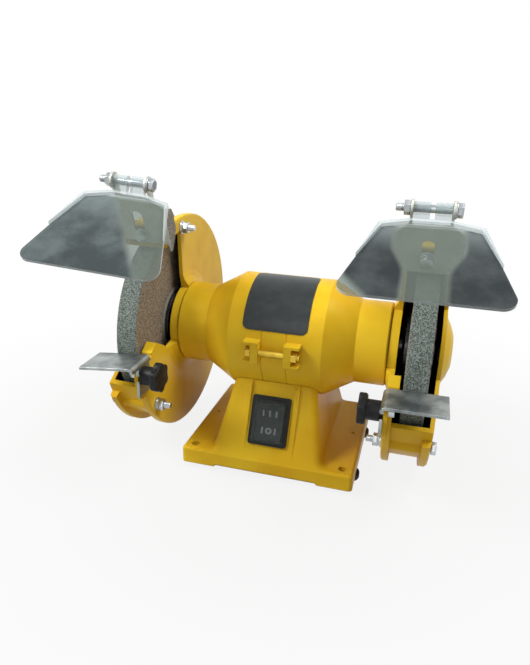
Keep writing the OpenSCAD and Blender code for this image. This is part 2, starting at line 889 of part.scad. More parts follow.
module windings() {
    play = 0.2;
    color(copper) translate([0, 0, shaft_z]) {
        for (side = [-1, 1]) on_side(side)
            x_tube(core_len / 2, core_len / 2 + winding_len, winding_out_r, winding_in_r);
        for (k = [0:slot_count - 1])
            rotate([k * 360 / slot_count, 0, 0])
                box([core_len + 2 * over, slot_w - 2 * play, slot_depth - 2 * play],
                    [0, 0, core_bore_r + 1.5 + play]);
    }
}

module tie_bolts() {
    head_x = half_band + lug_floor;
    color(zinc) for (end = [-1, 1]) translate([0, end * tie_r, shaft_z]) {
        x_rod(-head_x, head_x + m5_nut_h + 2, m5_r, $fn = small_fn);
        x_hex(-head_x - m5_head_h, -head_x, m5_hex_r);
    }
}

module tie_nuts() {
    head_x = half_band + lug_floor;
    color(zinc) for (end = [-1, 1]) translate([0, end * tie_r, shaft_z]) difference() {
        x_hex(head_x, head_x + m5_nut_h, m5_hex_r);
        x_rod(head_x - over, head_x + m5_nut_h + over, m5_r);
    }
}

// Everything between two directions, in degrees forward of the top
module sector(x0, x1, low_deg, high_deg) {
    mid_deg = (low_deg + high_deg) / 2;
    x_prism(x0, x1, [
        for (a = [low_deg, mid_deg, high_deg]) [-far * sin(a), far * cos(a)],
        [0, 0]]);
}

module label() {
    low = 90 - label_high_deg;
    high = 90 - label_low_deg;
    corner_deg = label_corner_r / drum_r * 180 / PI;
    skin_r = drum_r + seat_gap / 2;
    color(charcoal) intersection() {
        translate([0, 0, shaft_z])
            x_tube(-label_half_w, label_half_w, skin_r + label_t, skin_r);
        translate([0, 0, shaft_z]) union() {
            sector(-label_half_w, label_half_w, low + corner_deg, high - corner_deg);
            sector(label_corner_r - label_half_w, label_half_w - label_corner_r, low, high);
            for (side = [-1, 1], a = [low + corner_deg, high - corner_deg])
                rotate([a, 0, 0]) translate([side * (label_half_w - label_corner_r), 0, 0])
                    cylinder(h = far / 2, r = label_corner_r);
        }
    }
}

module saddle_screws() {
    color(zinc) for (side = [-1, 1])
        translate([side * saddle_screw_x, 0, hollow_top_z - m5_head_h]) {
            cylinder(h = m5_head_h, r = m5_hex_r, $fn = 6);
            cylinder(h = m5_head_h + cast_wall + bell_wall, r = m5_r, $fn = small_fn);
        }
}

module rotor() {
    cage_r = rotor_r - 2;
    half = core_len / 2;
    color(aluminium_grey) turned([
        [spindle_r, -half - rotor_ring_len], [cage_r, -half - rotor_ring_len],
        [cage_r, -half], [rotor_r, -half], [rotor_r, half], [cage_r, half],
        [cage_r, half + rotor_ring_len], [spindle_r, half + rotor_ring_len]]);
}

module spindle() {
    color(steel) turned([
        [0, -spindle_end_x], [arbor_r - 1, -spindle_end_x], [arbor_r, 1 - spindle_end_x],
        [arbor_r, -shoulder_x], [spindle_r, -shoulder_x],
        [spindle_r, shoulder_x], [arbor_r, shoulder_x],
        [arbor_r, spindle_end_x - 1], [arbor_r - 1, spindle_end_x], [0, spindle_end_x]]);
}

module bearing_race(r_out, r_in) {
    mid = end_wall_x - bearing_w / 2;
    for (side = [-1, 1]) on_side(side) difference() {
        translate([0, 0, shaft_z])
            x_tube(bearing_in_r + seat_gap / 2, end_wall_x - seat_gap / 2, r_out, r_in);
        on_spindle(mid) rotate_extrude() translate([ball_pitch_r, 0])
            circle(ball_r + race_play, $fn = small_fn * 2);
    }
}

module bearing_outers() {
    color(steel) bearing_race(bearing_r, ball_pitch_r + race_edge);
}

module bearing_inners() {
    color(steel) bearing_race(ball_pitch_r - race_edge, spindle_r);
}

module bearing_balls() {
    color(steel) for (side = [-1, 1], k = [0:ball_count - 1])
        on_side(side) translate([end_wall_x - bearing_w / 2, 0, shaft_z])
            rotate([k * 360 / ball_count, 0, 0]) translate([0, 0, ball_pitch_r])
                sphere(ball_r, $fn = small_fn);
}

// ---- Guards ----

// The mouth's front edge leaves the hub here, and on the cover it aims at the band's lip
hub_corner = [-hub_keep_r - 1, -8];
lip_point = -(guard_in_r + guard_band_t / 2) * [cos(guard_lip_deg), sin(guard_lip_deg)];
run_past = 5;

// The mouth's outline, as [y, z] from the spindle: its back edge and the round hub
mouth_back_edge = [
    [-mouth_back - mouth_lean, far], [-mouth_back - mouth_lean, guard_in_r],
    [-mouth_back, hub_keep_r + 11], [3 - mouth_back, hub_keep_r],
    [0, 0], hub_corner];

// On the inner guard it ends on the ledge and the rest's ear
inner_mouth = concat(mouth_back_edge, [
    [-ledge_low_y, -ledge_low_z],
    [-ledge_mid_y, -ledge_mid_z], [-ledge_top_y, ledge_top_z],
    [-ledge_end_y, -ledge_end_z], [-ledge_end_y, -stud_drop + ear_r],
    [-far, -stud_drop + ear_r], [-far, far]]);

// On the cover it runs straight on past the lip
cover_mouth = concat(mouth_back_edge, [
    hub_corner + run_past * (lip_point - hub_corner), [-far, far]]);

// Both guards are open here: the mouth, less the ring above it and the round hub
module mouth(x0, x1, keep_r, outline) {
    translate([0, 0, shaft_z]) difference() {
        union() {
            intersection() {
                x_prism(x0, x1, outline);
                x_rod(x0, x1, guard_in_r + mouth_bite);
            }
            intersection() {
                x_prism(x0, x1, outline);
                sector(x0, x1, guard_top_deg, 90 + guard_lip_deg);
            }
        }
        x_rod(x0 - over, x1 + over, keep_r);
    }
}

module at_guard_bolts() {
    for (deg = guard_bolt_degs) out_at(deg) translate([0, 0, guard_bolt_r]) children();
}

module ledge() {
    translate([0, 0, shaft_z]) x_prism(plate_in_x - over, plate_in_x + ledge_w, [
        [-ledge_low_y, -ledge_low_z], [-ledge_mid_y, -ledge_mid_z],
        [-ledge_top_y, ledge_top_z], [-ledge_end_y, -ledge_end_z],
        [-ledge_end_y, -ledge_end_z - ledge_t], [-ledge_top_y, ledge_top_z - ledge_t],
        [-ledge_mid_y, -ledge_mid_z - ledge_t], [-ledge_low_y, -ledge_low_z - ledge_t]]);
}

// The ear that holds the tool rest's stud ahead of the rim
module stud_ear() {
    translate([plate_x, 0, shaft_z]) rotate([90, 0, 90]) linear_extrude(guard_plate_t)
        hull() {
            translate([stud_y + ear_back, -stud_drop]) circle(ear_r);
            translate([stud_y + ear_back, -stud_drop - ear_low]) circle(ear_r);
            translate([-ledge_end_y, -stud_drop - ear_low]) circle(ear_r);
            translate([-ledge_end_y, -stud_drop]) circle(ear_r - 1);
        }
}

module inner_guard(side) {
    color(yellow) on_side(side) difference() {
        union() {
            difference() {
                turned([
                    [guard_hole_r, bell_end_x], [neck_r, bell_end_x],
                    [neck_r + 1.5, bell_end_x + guard_step / 4],
                    [neck_r + 5, plate_x - guard_step / 4], [neck_r + 10, plate_x],
                    [guard_rim_r - 1, plate_x], [guard_rim_r, plate_x + 1],
                    [guard_rim_r, rim_x], [rim_in_r, rim_x],
                    [rim_in_r, plate_in_x], [guard_hole_r, plate_in_x]]);
                mouth(bell_end_x - over, rim_x + over, hub_keep_r, inner_mouth);
            }
            ledge();
            stud_ear();
        }
        translate([0, stud_y, stud_z]) x_rod(plate_x - over, rim_x + over, stud_r + run_play);
        at_guard_bolts() {
            x_rod(plate_x - over, rim_x + over, m5_r + hole_play);
            x_rod(plate_in_x, rim_x + over, column_r + seat_gap);
        }
        for (deg = guard_screw_degs) out_at(deg) translate([0, 0, guard_screw_r]) {
            x_rod(0, far / 2, m4_r + hole_play);
            x_rod(plate_in_x - m4_head_h - seat_gap, far / 2, m4_head_r + hole_play);
        }
    }
}

module inner_guard_left() {
    inner_guard(-1);
}

module inner_guard_right() {
    inner_guard(1);
}

module guard_columns() {
    at_guard_bolts() x_rod(plate_in_x + 3 * seat_gap, cover_x - shell_t / 5, column_r);
}

// The boss on the cover's upper end that takes the bracket bolt
module bracket_boss() {
    out_at(guard_top_deg)
        x_prism(bracket_x - boss_half_w, bracket_x + boss_half_w, [
            [0, guard_in_r], [0, boss_top_r - 1], [1, boss_top_r], [boss_neck, boss_top_r],
            [boss_len, band_out_r + 1], [boss_len, guard_in_r]]);
}

module outer_guard_solid() {
    turned([
        [band_out_r, plate_in_x + seat_gap], [band_out_r, cover_rim_x],
        [guard_rim_r, cover_rim_x], [guard_rim_r, cover_x - 1.5],
        [guard_rim_r - 1.5, cover_x], [guard_rim_r - cover_edge_w, cover_x + cover_edge_rise],
        [cone_r, cover_x + cone_rise], [collar_r, cover_x + collar_rise],
        [dome_r, cover_x + dome_foot_rise],
        [dome_shoulder_r, cover_x + dome_shoulder_rise], [dome_top_r, dome_x], [0, dome_x],
        [0, dome_x - shell_t], [dome_top_r - 1, dome_x - shell_t],
        [dome_shoulder_r - 1.5, cover_in_x + dome_shoulder_rise],
        [dome_r - 1.5, cover_in_x + dome_foot_rise],
        [cone_r, cover_in_x + cone_rise], [guard_in_r, cover_in_x + cover_edge_rise],
        [guard_in_r, plate_in_x + seat_gap]]);
}

module outer_guard(side) {
    color(yellow) on_side(side) difference() {
        union() {
            difference() {
                outer_guard_solid();
                mouth(plate_in_x - over, dome_x + over, cover_keep_r, cover_mouth);
            }
            difference() {
                guard_columns();
                translate([0, 0, shaft_z]) x_rod(0, far, wheel_r + wheel_play);
            }
            difference() {
                bracket_boss();
                translate([0, 0, shaft_z]) x_rod(0, far, guard_in_r);
            }
        }
        translate([0, 0, shaft_z]) {
            sector(plate_in_x - over, cover_rim_x, guard_top_deg, 90 + guard_lip_deg);
            intersection() {
                sector(plate_in_x - over, far / 2, guard_top_deg, 90 + rim_cut_deg);
                x_tube(plate_in_x - over, far / 2, far / 2, band_out_r);
            }
        }
        at_guard_bolts() {
            x_rod(plate_in_x, far / 2, m5_r + hole_play);
            x_rod(bolt_seat_x, far / 2, m5_hex_r + 0.5);
        }
        out_at(guard_top_deg) translate([bracket_x, 0, bracket_bolt_r]) rotate([-90, 0, 0])
            translate([0, 0, -over]) cylinder(h = bracket_bolt_len + over, r = m5_r);
    }
}

module outer_guard_left() {
    outer_guard(-1);
}

module outer_guard_right() {
    outer_guard(1);
}

module guard_screws() {
    color(zinc) for (side = [-1, 1]) on_side(side) for (deg = guard_screw_degs)
        out_at(deg) translate([0, 0, guard_screw_r]) {
            x_rod(end_wall_x - 0.5, plate_in_x, m4_r, $fn = small_fn);
            x_rod(plate_in_x - m4_head_h, plate_in_x, m4_head_r, $fn = small_fn);
        }
}

module guard_bolts() {
    end_x = plate_x - m5_nut_h - washer_t - spring_t - 5;
    color(zinc) for (side = [-1, 1]) on_side(side) at_guard_bolts() {
        x_rod(end_x, bolt_seat_x, m5_r, $fn = small_fn);
        x_rod(bolt_seat_x, bolt_seat_x + m5_head_h, m5_hex_r, $fn = small_fn);
    }
}

module guard_nuts() {
    washer_x = plate_x - washer_t;
    spring_x = washer_x - spring_t;
    color(zinc) for (side = [-1, 1]) on_side(side) at_guard_bolts() difference() {
        union() {
            x_hex(spring_x - m5_nut_h, spring_x, m5_hex_r);
            x_rod(spring_x, washer_x, m5_hex_r - 0.4, $fn = small_fn);
            x_rod(washer_x, plate_x, m5_hex_r + 0.6, $fn = small_fn);
        }
        x_rod(0, far / 2, m5_r);
    }
}

// ---- Wheels and flanges ----

module inner_flanges() {
    disc_x = wheel_x - blotter_t - flange_disc_t;
    face_x = wheel_x - blotter_t;
    color(steel) for (side = [-1, 1]) on_side(side) turned([
        [arbor_r, shoulder_x], [flange_hub_r, shoulder_x], [flange_hub_r, disc_x],
        [flange_r - 2, disc_x], [flange_r, disc_x + 2], [flange_r, face_x],
        [flange_relief_r, face_x], [flange_relief_r, face_x - flange_relief],
        [arbor_r, face_x - flange_relief]]);
}

module wheel(side) {
    edge = 0.6;
    color(grit) on_side(side) turned([
        [arbor_r + bore_play, wheel_x], [wheel_r - edge, wheel_x],
        [wheel_r, wheel_x + edge], [wheel_r, wheel_x + wheel_t - edge],
        [wheel_r - edge, wheel_x + wheel_t], [arbor_r + bore_play, wheel_x + wheel_t]]);
}

module wheel_left() {
    wheel(-1);
}

module wheel_right() {
    wheel(1);
}

module blotters() {
    color(paper_grey) translate([0, 0, shaft_z]) for (side = [-1, 1]) on_side(side) {
        x_tube(wheel_x - blotter_t, wheel_x, flange_r + 3, arbor_r + bore_play);
        x_tube(wheel_x + wheel_t, outer_flange_x, flange_r + 3, arbor_r + bore_play);
    }
}

module outer_flanges() {
    color(steel) for (side = [-1, 1]) on_side(side) turned([
        [arbor_r + bore_play, outer_flange_x + flange_relief],
        [flange_relief_r, outer_flange_x + flange_relief],
        [flange_relief_r, outer_flange_x], [flange_r, outer_flange_x],
        [flange_r, outer_flange_x + 2], [arbor_nut_r + 3, arbor_nut_x],
        [arbor_r + bore_play, arbor_nut_x]]);
}

module arbor_nuts() {
    color(steel) translate([0, 0, shaft_z]) for (side = [-1, 1]) on_side(side) difference() {
        x_hex(arbor_nut_x, arbor_nut_x + arbor_nut_h, arbor_nut_r);
        x_rod(0, far / 2, arbor_r);
    }
}

// ---- Tool rests ----

// An arc of the bend's outline, as [x, z] from the bend's centre
function bend_arc(r, from, to) = [
    for (k = [0:bend_steps])
        let (a = from + k * (to - from) / bend_steps)
        [-r * cos(a), r * sin(a)]
];

// The sheet from the leg's top round the bend to its end, which droops
module rest_plate(droop) {
    run = rest_len - bend_r;
    in_r = bend_r - rest_t;
    translate([leg_x + bend_r, rest_back_y, rest_top_z - bend_r]) rotate([90, 0, 0])
        linear_extrude(rest_depth) polygon(concat(
            bend_arc(bend_r, 0, 90 + droop),
            [for (r = [bend_r, in_r])
                [run * cos(droop) + r * sin(droop), r * cos(droop) - run * sin(droop)]],
            bend_arc(in_r, 90 + droop, 0)));
}

module rest(side, droop) {
    color(zinc) on_side(side) difference() {
        union() {
            rest_plate(droop);
            translate([leg_x, leg_front_y, rest_top_z - leg_h])
                cube([rest_t, rest_leg_d, leg_h - bend_r]);
        }
        translate([0, stud_y, stud_z]) for (end = [-1, 1])
            translate([0, end * stud_slot_half, 0])
                x_rod(leg_x - over, leg_in_x + over, stud_r + stud_slot_play);
        translate([leg_x - over, stud_y - stud_slot_half, stud_z - stud_r - stud_slot_play])
            cube([rest_t + 2 * over, 2 * stud_slot_half, 2 * (stud_r + stud_slot_play)]);
    }
}

module rest_left() {
    rest(-1, left_rest_droop);
}

module rest_right() {
    rest(1, 0);
}

module knob(side) {
    head_x = knob_in_x - knob_hub_len;
    color(black) on_side(side) translate([0, stud_y, stud_z]) difference() {
        union() {
            x_rod(head_x, knob_in_x, knob_hub_r);
            x_rod(head_x - knob_head_t, head_x, knob_r - 1.6);
            for (k = [0:lobe_count - 1])
                rotate([k * 360 / lobe_count, 0, 0]) translate([0, 0, knob_r - lobe_r])
                    x_rod(head_x - knob_head_t, head_x, lobe_r);
        }
        x_rod(head_x - stud_sink, knob_in_x + over, stud_r);
    }
}

module knob_left() {
    knob(-1);
}

module knob_right() {
    knob(1);
}

module stud(side) {
    color(zinc) on_side(side) translate([0, stud_y, stud_z])
        x_rod(knob_in_x - knob_hub_len - stud_sink, stud_end_x, stud_r);
}

module stud_left() {
    stud(-1);
}

module stud_right() {
    stud(1);
}

// ---- Visor brackets ----

// Puts children in a bracket's frame: x across it from its middle, z out from the
// spindle, y back; a setting is [how far it is drawn out, its skew, the visor's
// slope, how far it sits outwards]
module in_bracket_frame(side, setting) {
    out_at(guard_top_deg) translate([side * (bracket_x + setting[3]), 0, bracket_bolt_r])
        rotate([0, setting[1], 0]) translate([0, 0, setting[0] - bracket_bolt_r]) children();
}

module bracket_web() {
    half = bracket_w / 2;
    translate([0, -slide_gap, 0]) rotate([90, 0, 0]) linear_extrude(bracket_t) polygon([
        [-half, tab_r], [bracket_t + 1 - half, web_low_r], [half - bracket_t - 1, web_low_r],
        [half, tab_r], [half, web_shoulder_r], [ear_in_x + bracket_t, web_top_r],
        [-ear_in_x - bracket_t, web_top_r], [-half, web_shoulder_r]]);
}

module bracket_flanges() {
    half = bracket_w / 2;
    front = -slide_gap - bracket_t;
    for (side = [-1, 1]) on_side(side) x_prism(half - bracket_t, half, [
        [front, tab_r], [front, web_shoulder_r], [0, web_shoulder_r],
        [bracket_flange * 0.8, web_shoulder_r - 6], [bracket_flange, web_shoulder_r - 12],
        [bracket_flange, web_low_r + 5], [0, tab_r]]);
}

module bracket_ears() {
    front = -slide_gap - bracket_t;
    for (side = [-1, 1]) on_side(side) difference() {
        union() {
            x_prism(ear_in_x, ear_in_x + bracket_t, [
                [front, web_top_r - 4], [front, ear_bend_r], [-hinge_ear_r, hinge_reach],
                [hinge_ear_r, hinge_reach], [front + 5, web_top_r - 4]]);
            translate([0, 0, hinge_reach]) x_rod(ear_in_x, ear_in_x + bracket_t, hinge_ear_r);
        }
        translate([0, 0, hinge_reach]) x_rod(0, bracket_w, m5_r);
    }
}

module bracket(side, setting) {
    color(zinc) in_bracket_frame(side, setting) {
        difference() {
            union() {
                bracket_web();
                bracket_flanges();
            }
            for (r = [slot_low_r, slot_high_r])
                translate([0, -far / 2, r]) rotate([-90, 0, 0])
                    cylinder(h = far, r = bracket_slot_w / 2);
            box([bracket_slot_w, far, slot_high_r - slot_low_r], [0, 0, slot_low_r]);
        }
        bracket_ears();
    }
}

module bracket_left() {
    bracket(-1, left_setting);
}

module bracket_right() {
    bracket(1, right_setting);
}

module at_bracket_bolts() {
    for (side = [-1, 1]) out_at(guard_top_deg)
        translate([side * bracket_x, 0, bracket_bolt_r]) rotate([90, 0, 0]) children();
}

module bracket_bolts() {
    head_z = bracket_t + 2 * slide_gap + washer_t;
    color(zinc) at_bracket_bolts() {
        translate([0, 0, head_z]) cylinder(h = m5_head_h, r = m5_hex_r, $fn = 6);
        translate([0, 0, -bracket_bolt_len])
            cylinder(h = head_z + bracket_bolt_len, r = m5_r, $fn = small_fn);
    }
}

module bracket_washers() {
    color(zinc) at_bracket_bolts() translate([0, 0, bracket_t + 2 * slide_gap]) difference() {
        cylinder(h = washer_t, r = m5_washer_r);
        translate([0, 0, -over]) cylinder(h = washer_t + 2 * over, r = m5_r);
    }
}

// ---- Visors ----

module in_hinge_frame(side, setting) {
    in_bracket_frame(side, setting) translate([0, 0, hinge_reach]) children();
}

// The visor lies at its slope whatever the guard's end
module in_visor_frame(side, setting) {
    in_hinge_frame(side, setting) rotate([setting[2] - guard_top_deg, 0, 0]) children();
}

function side_x(v) = visor_top_w / 2
    + (visor_low_w - visor_top_w) / 2 * (v - visor_top) / (visor_len - visor_top);

module visor_lip() {
    lip_end = visor_top + lip_reach;
    inner = visor_top + lip_w;
    translate([0, 0, -visor_drop]) linear_extrude(visor_t / 2 + lip_rise) polygon([
        [-side_x(lip_end), -lip_end], [-side_x(visor_top), -visor_top],
        [-knuckle_half, -visor_neck], [knuckle_half, -visor_neck],
        [side_x(visor_top), -visor_top], [side_x(lip_end), -lip_end],
        [side_x(inner) - lip_w, -inner], [knuckle_half, -visor_neck - lip_w],
        [-knuckle_half, -visor_neck - lip_w], [lip_w - side_x(inner), -inner]]);
}

module visor(side, setting) {
    low = visor_len - visor_corner_r;
    corner_x = side_x(visor_len) - visor_corner_r - 2.4;
    low_w = -visor_drop - visor_t / 2;
    color(smoke) in_visor_frame(side, setting) difference() {
        union() {
            translate([0, 0, low_w]) linear_extrude(visor_t) hull() {
                for (end = [-1, 1]) {
                    translate([end * corner_x, -low]) circle(visor_corner_r, $fn = 64);
                    translate([end * (side_x(visor_top) - 1), -visor_top - 1])
                        circle(1, $fn = small_fn);
                    translate([end * knuckle_half, -visor_neck - 1])
                        circle(1, $fn = small_fn);
                }
            }
            visor_lip();
            for (end = [-1, 1]) on_side(end) {
                x_rod(knuckle_gap_half, knuckle_half, knuckle_r);
                x_prism(knuckle_gap_half, knuckle_half, [
                    [0, 0], [-knuckle_r * 0.6, knuckle_r * 0.6],
                    [-visor_neck - visor_t, low_w + visor_t],
                    [-visor_neck - visor_t, low_w + seat_gap],
                    [-visor_neck - seat_gap, low_w + seat_gap], [0, -knuckle_r * 0.9]]);
            }
        }
        x_rod(-bracket_w, bracket_w, m5_r + run_play);
    }
}

module visor_left() {
    visor(-1, left_setting);
}

module visor_right() {
    visor(1, right_setting);
}

module hinge_bolt(side, setting) {
    ear_out_x = ear_in_x + bracket_t;
    color(zinc) in_hinge_frame(side, setting) {
        x_rod(-ear_out_x - hinge_bolt_end, ear_out_x, m5_r, $fn = small_fn);
        x_rod(ear_out_x, ear_out_x + washer_t, m5_hex_r + 0.6);
        x_hex(ear_out_x + washer_t, ear_out_x + washer_t + hinge_bolt_head_h, m5_hex_r);
    }
}

module hinge_bolt_left() {
    hinge_bolt(-1, left_setting);
}

module hinge_bolt_right() {
    hinge_bolt(1, right_setting);
}

module hinge_nut(side, setting) {
    ear_out_x = ear_in_x + bracket_t;
    color(zinc) in_hinge_frame(side, setting) difference() {
        x_hex(-ear_out_x - m5_nut_h, -ear_out_x, m5_hex_r);
        x_rod(-bracket_w, 0, m5_r);
    }
}

module hinge_nut_left() {
    hinge_nut(-1, left_setting);
}

module hinge_nut_right() {
    hinge_nut(1, right_setting);
}

base_casting();
bottom_cover();
cover_screws();
rubber_feet();
foot_screws();
switch_housing();
rocker();
rocker_marks();
switch_boot();
cable_gland();
gland_nut();
capacitor();
capacitor_clamp();
clamp_screws();
bell_left();
bell_right();
stator_shell();
stator_core();
windings();
tie_bolts();
tie_nuts();
label();
saddle_screws();
rotor();
spindle();
bearing_outers();
bearing_inners();
bearing_balls();
inner_guard_left();
inner_guard_right();
outer_guard_left();
outer_guard_right();
guard_screws();
guard_bolts();
guard_nuts();
inner_flanges();
wheel_left();
wheel_right();
blotters();
outer_flanges();
arbor_nuts();
rest_left();
rest_right();
knob_left();
knob_right();
stud_left();
stud_right();
bracket_left();
bracket_right();
bracket_bolts();
bracket_washers();
visor_left();
visor_right();
hinge_bolt_left();
hinge_bolt_right();
hinge_nut_left();
hinge_nut_right();
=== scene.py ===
# %% [markdown]
# A bench grinder: a painted motor on a cast foot, with a grinding wheel in a guard at
# each end, sheet metal tool rests, and clear visors on zinc brackets.
# The solids come ready made from the CAD model, so this lesson is mostly about
# finishes. The guard bolts, bracket bolts, hinge screws and star knobs are modelled
# again, because threads, chamfers and lobes are what the eye checks close up.
# Blender works in metres. Sizes of pieces are written in millimetres, and MM turns
# them into metres.

# %% Load the frame
import math

import bmesh
import bpy
from mathutils import Matrix, Vector


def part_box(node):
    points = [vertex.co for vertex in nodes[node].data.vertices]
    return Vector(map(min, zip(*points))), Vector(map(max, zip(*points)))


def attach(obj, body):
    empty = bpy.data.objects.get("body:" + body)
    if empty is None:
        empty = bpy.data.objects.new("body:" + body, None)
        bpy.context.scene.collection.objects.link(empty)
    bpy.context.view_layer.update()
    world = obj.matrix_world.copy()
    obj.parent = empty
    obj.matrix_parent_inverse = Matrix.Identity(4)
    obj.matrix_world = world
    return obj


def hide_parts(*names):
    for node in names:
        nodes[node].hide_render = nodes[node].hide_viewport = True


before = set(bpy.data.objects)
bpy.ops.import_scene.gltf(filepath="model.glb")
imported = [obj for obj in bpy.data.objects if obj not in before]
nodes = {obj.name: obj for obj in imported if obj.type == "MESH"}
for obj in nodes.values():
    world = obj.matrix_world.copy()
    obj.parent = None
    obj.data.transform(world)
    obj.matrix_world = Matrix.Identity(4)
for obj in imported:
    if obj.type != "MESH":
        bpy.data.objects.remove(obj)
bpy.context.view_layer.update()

MM = 0.001
SHAFT_HEIGHT = 104
SHAFT_Z = SHAFT_HEIGHT * MM

# %% [markdown]
# The camera comes first. It stands a little to the right of the grinder and looks down
# at it. A camera looks along its own -Z axis, so its matrix is made from three
# directions: right, up and backwards. Writing the directions down is more exact than
# turning the camera by hand.

# %% Camera
CAMERA_YAW = math.radians(15.22)
CAMERA_PITCH = math.radians(20.98)
CAMERA_ROLL = math.radians(1.52)
CAMERA_PLACE = (0.0990, -0.4330, 0.2727)
FOCAL_PIXELS = 579.78
IMAGE_WIDTH = 530
SENSOR_WIDTH = 36
NEAREST_SEEN = 10 * MM

forward = Vector((-math.sin(CAMERA_YAW) * math.cos(CAMERA_PITCH),
                  math.cos(CAMERA_YAW) * math.cos(CAMERA_PITCH), -math.sin(CAMERA_PITCH)))
level_right = Vector((math.cos(CAMERA_YAW), math.sin(CAMERA_YAW), 0))
level_up = level_right.cross(forward)
right = level_right * math.cos(CAMERA_ROLL) + level_up * math.sin(CAMERA_ROLL)
up = level_up * math.cos(CAMERA_ROLL) - level_right * math.sin(CAMERA_ROLL)

lens = bpy.data.cameras.new("camera")
lens.sensor_fit = "HORIZONTAL"
lens.sensor_width = SENSOR_WIDTH
lens.lens = FOCAL_PIXELS * SENSOR_WIDTH / IMAGE_WIDTH
lens.clip_start = NEAREST_SEEN
camera = bpy.data.objects.new("camera", lens)
bpy.context.scene.collection.objects.link(camera)
turn = Matrix((right, up, -forward)).transposed()
camera.matrix_world = Matrix.Translation(CAMERA_PLACE) @ turn.to_4x4()
bpy.context.scene.camera = camera
print("camera lens:", round(lens.lens, 2), "mm")

# %% [markdown]
# Every finish is a small network of shader nodes. These helpers add a node, set its
# sockets and join it to others, so that each material below reads as a short recipe.
# A value that is the same all over a surface is typed into the shader's own socket.

# %% Adding a node
def connect(tree, value, socket):
    if isinstance(value, bpy.types.NodeSocket):
        tree.links.new(value, socket)
    else:
        socket.default_value = value


def add_node(tree, kind, settings=None, **sockets):
    """Adds a shader node; a socket given a node's output is linked, a value is typed in.

    Socket names are written with _ for a space, and _0 is a node's first socket.
    """
    node = tree.nodes.new("ShaderNode" + kind)
    for name, value in (settings or {}).items():
        setattr(node, name, value)
    for name, value in sockets.items():
        key = int(name[1:]) if name[0] == "_" else name.replace("_", " ")
        connect(tree, value, node.inputs[key])
    return node


# %% [markdown]
# Most of a finish is masks: numbers from 0 to 1 that say how much of something a point
# has. They are worked out with Math nodes. A short function for each operation lets a
# mask be read almost as arithmetic.

# %% Arithmetic on masks
def math_node(tree, operation, *values):
    node = add_node(tree, "Math", {"operation": operation})
    for socket, value in zip(node.inputs, values):
        connect(tree, value, socket)
    return node.outputs[0]


def plus(tree, first, second):
    return math_node(tree, "ADD", first, second)


def minus(tree, first, second):
    return math_node(tree, "SUBTRACT", first, second)


def times(tree, first, second):
    return math_node(tree, "MULTIPLY", first, second)


def opposite(tree, mask):
    return minus(tree, 1.0, mask)


def either(tree, first, second):
    return math_node(tree, "MAXIMUM", first, second)


def size_of(tree, value):
    return math_node(tree, "ABSOLUTE", value)


def over(tree, value, limit):
    return math_node(tree, "GREATER_THAN", value, limit)


def under(tree, value, limit):
    return math_node(tree, "LESS_THAN", value, limit)


def steps(tree, value, low, high):
    """Smooth ramp from 0 to 1 while value runs from low to high."""
    node = add_node(tree, "MapRange", {"interpolation_type": "SMOOTHSTEP"},
                    Value=value, From_Min=low, From_Max=high)
    return node.outputs[0]


def blend_value(tree, factor, first, second):
    return plus(tree, times(tree, factor, second),
                times(tree, opposite(tree, factor), first))


# %% [markdown]
# Colours are blended by a mask too. A Mix node keeps separate sockets for numbers and
# colours, so the colour ones are picked by their place in its list. Each colour is
# written as it looks on a screen and turned into the linear light that shaders use.

# %% Colours
MIX_FACTOR, MIX_FIRST, MIX_SECOND = 0, 6, 7
MIX_RESULT = 2


def blend_colour(tree, factor, first, second):
    node = add_node(tree, "Mix", {"data_type": "RGBA"})
    for index, value in ((MIX_FACTOR, factor), (MIX_FIRST, first), (MIX_SECOND, second)):
        connect(tree, value, node.inputs[index])
    return node.outputs[MIX_RESULT]


def paint(red, green, blue):
    """A colour given as it looks on a screen, 0 to 255, turned into linear light."""
    return tuple((c / 255 / 12.92) if c <= 10 else ((c / 255 + 0.055) / 1.055) ** 2.4
                 for c in (red, green, blue)) + (1.0,)


print("a screen grey of 128 in linear light:", round(paint(128, 128, 128)[0], 3))

# %% [markdown]
# Some effects appear in many finishes: rubbed edges, brush marks and the pebbled skin
# of sprayed paint. Each is built once as a node group with named inputs and outputs,
# and then placed in each material with its own values. The groups give only masks and
# normals; the shader stays in the material.

# %% Starting a group
FLOAT, VECTOR = "NodeSocketFloat", "NodeSocketVector"


def new_group(name, inputs, outputs):
    """A group's tree with the nodes that bring its inputs in and take its outputs out."""
    group = bpy.data.node_groups.new(name, "ShaderNodeTree")
    for socket_name, kind, default in inputs:
        socket = group.interface.new_socket(socket_name, in_out="INPUT", socket_type=kind)
        if default is not None:
            socket.default_value = default
    for socket_name, kind in outputs:
        group.interface.new_socket(socket_name, in_out="OUTPUT", socket_type=kind)
    return group, group.nodes.new("NodeGroupInput"), group.nodes.new("NodeGroupOutput")


def object_place(tree):
    return add_node(tree, "TexCoord").outputs["Object"]


def noise(tree, place, scale, detail=3.0, roughness=0.55, stretch=None):
    """Cloudy noise from 0 to 1; scale is roughly how many clouds there are in a metre."""
    if stretch:
        place = add_node(tree, "Mapping", Vector=place, Scale=stretch).outputs[0]
    return add_node(tree, "TexNoise", Vector=place, Scale=scale, Detail=detail,
                    Roughness=roughness).outputs["Fac"]


# %% [markdown]
# A real corner is never quite sharp, and it is the first place where a coat is rubbed.
# The Bevel node gives the direction that a rounded corner would face. Where that
# differs from the flat direction there is an edge, and noise breaks the edge mask into
# patches, so that it doesn't run along every edge as an even line. The paint and the
# metals use the mask for wear; the plastics use it for a painted highlight on corners.

# %% Rubbed edges, painted edge highlights and rounded edges
EDGE_STARTS, EDGE_FULL = 0.02, 0.25
PATCH_STARTS, PATCH_FULL = 0.3, 0.6

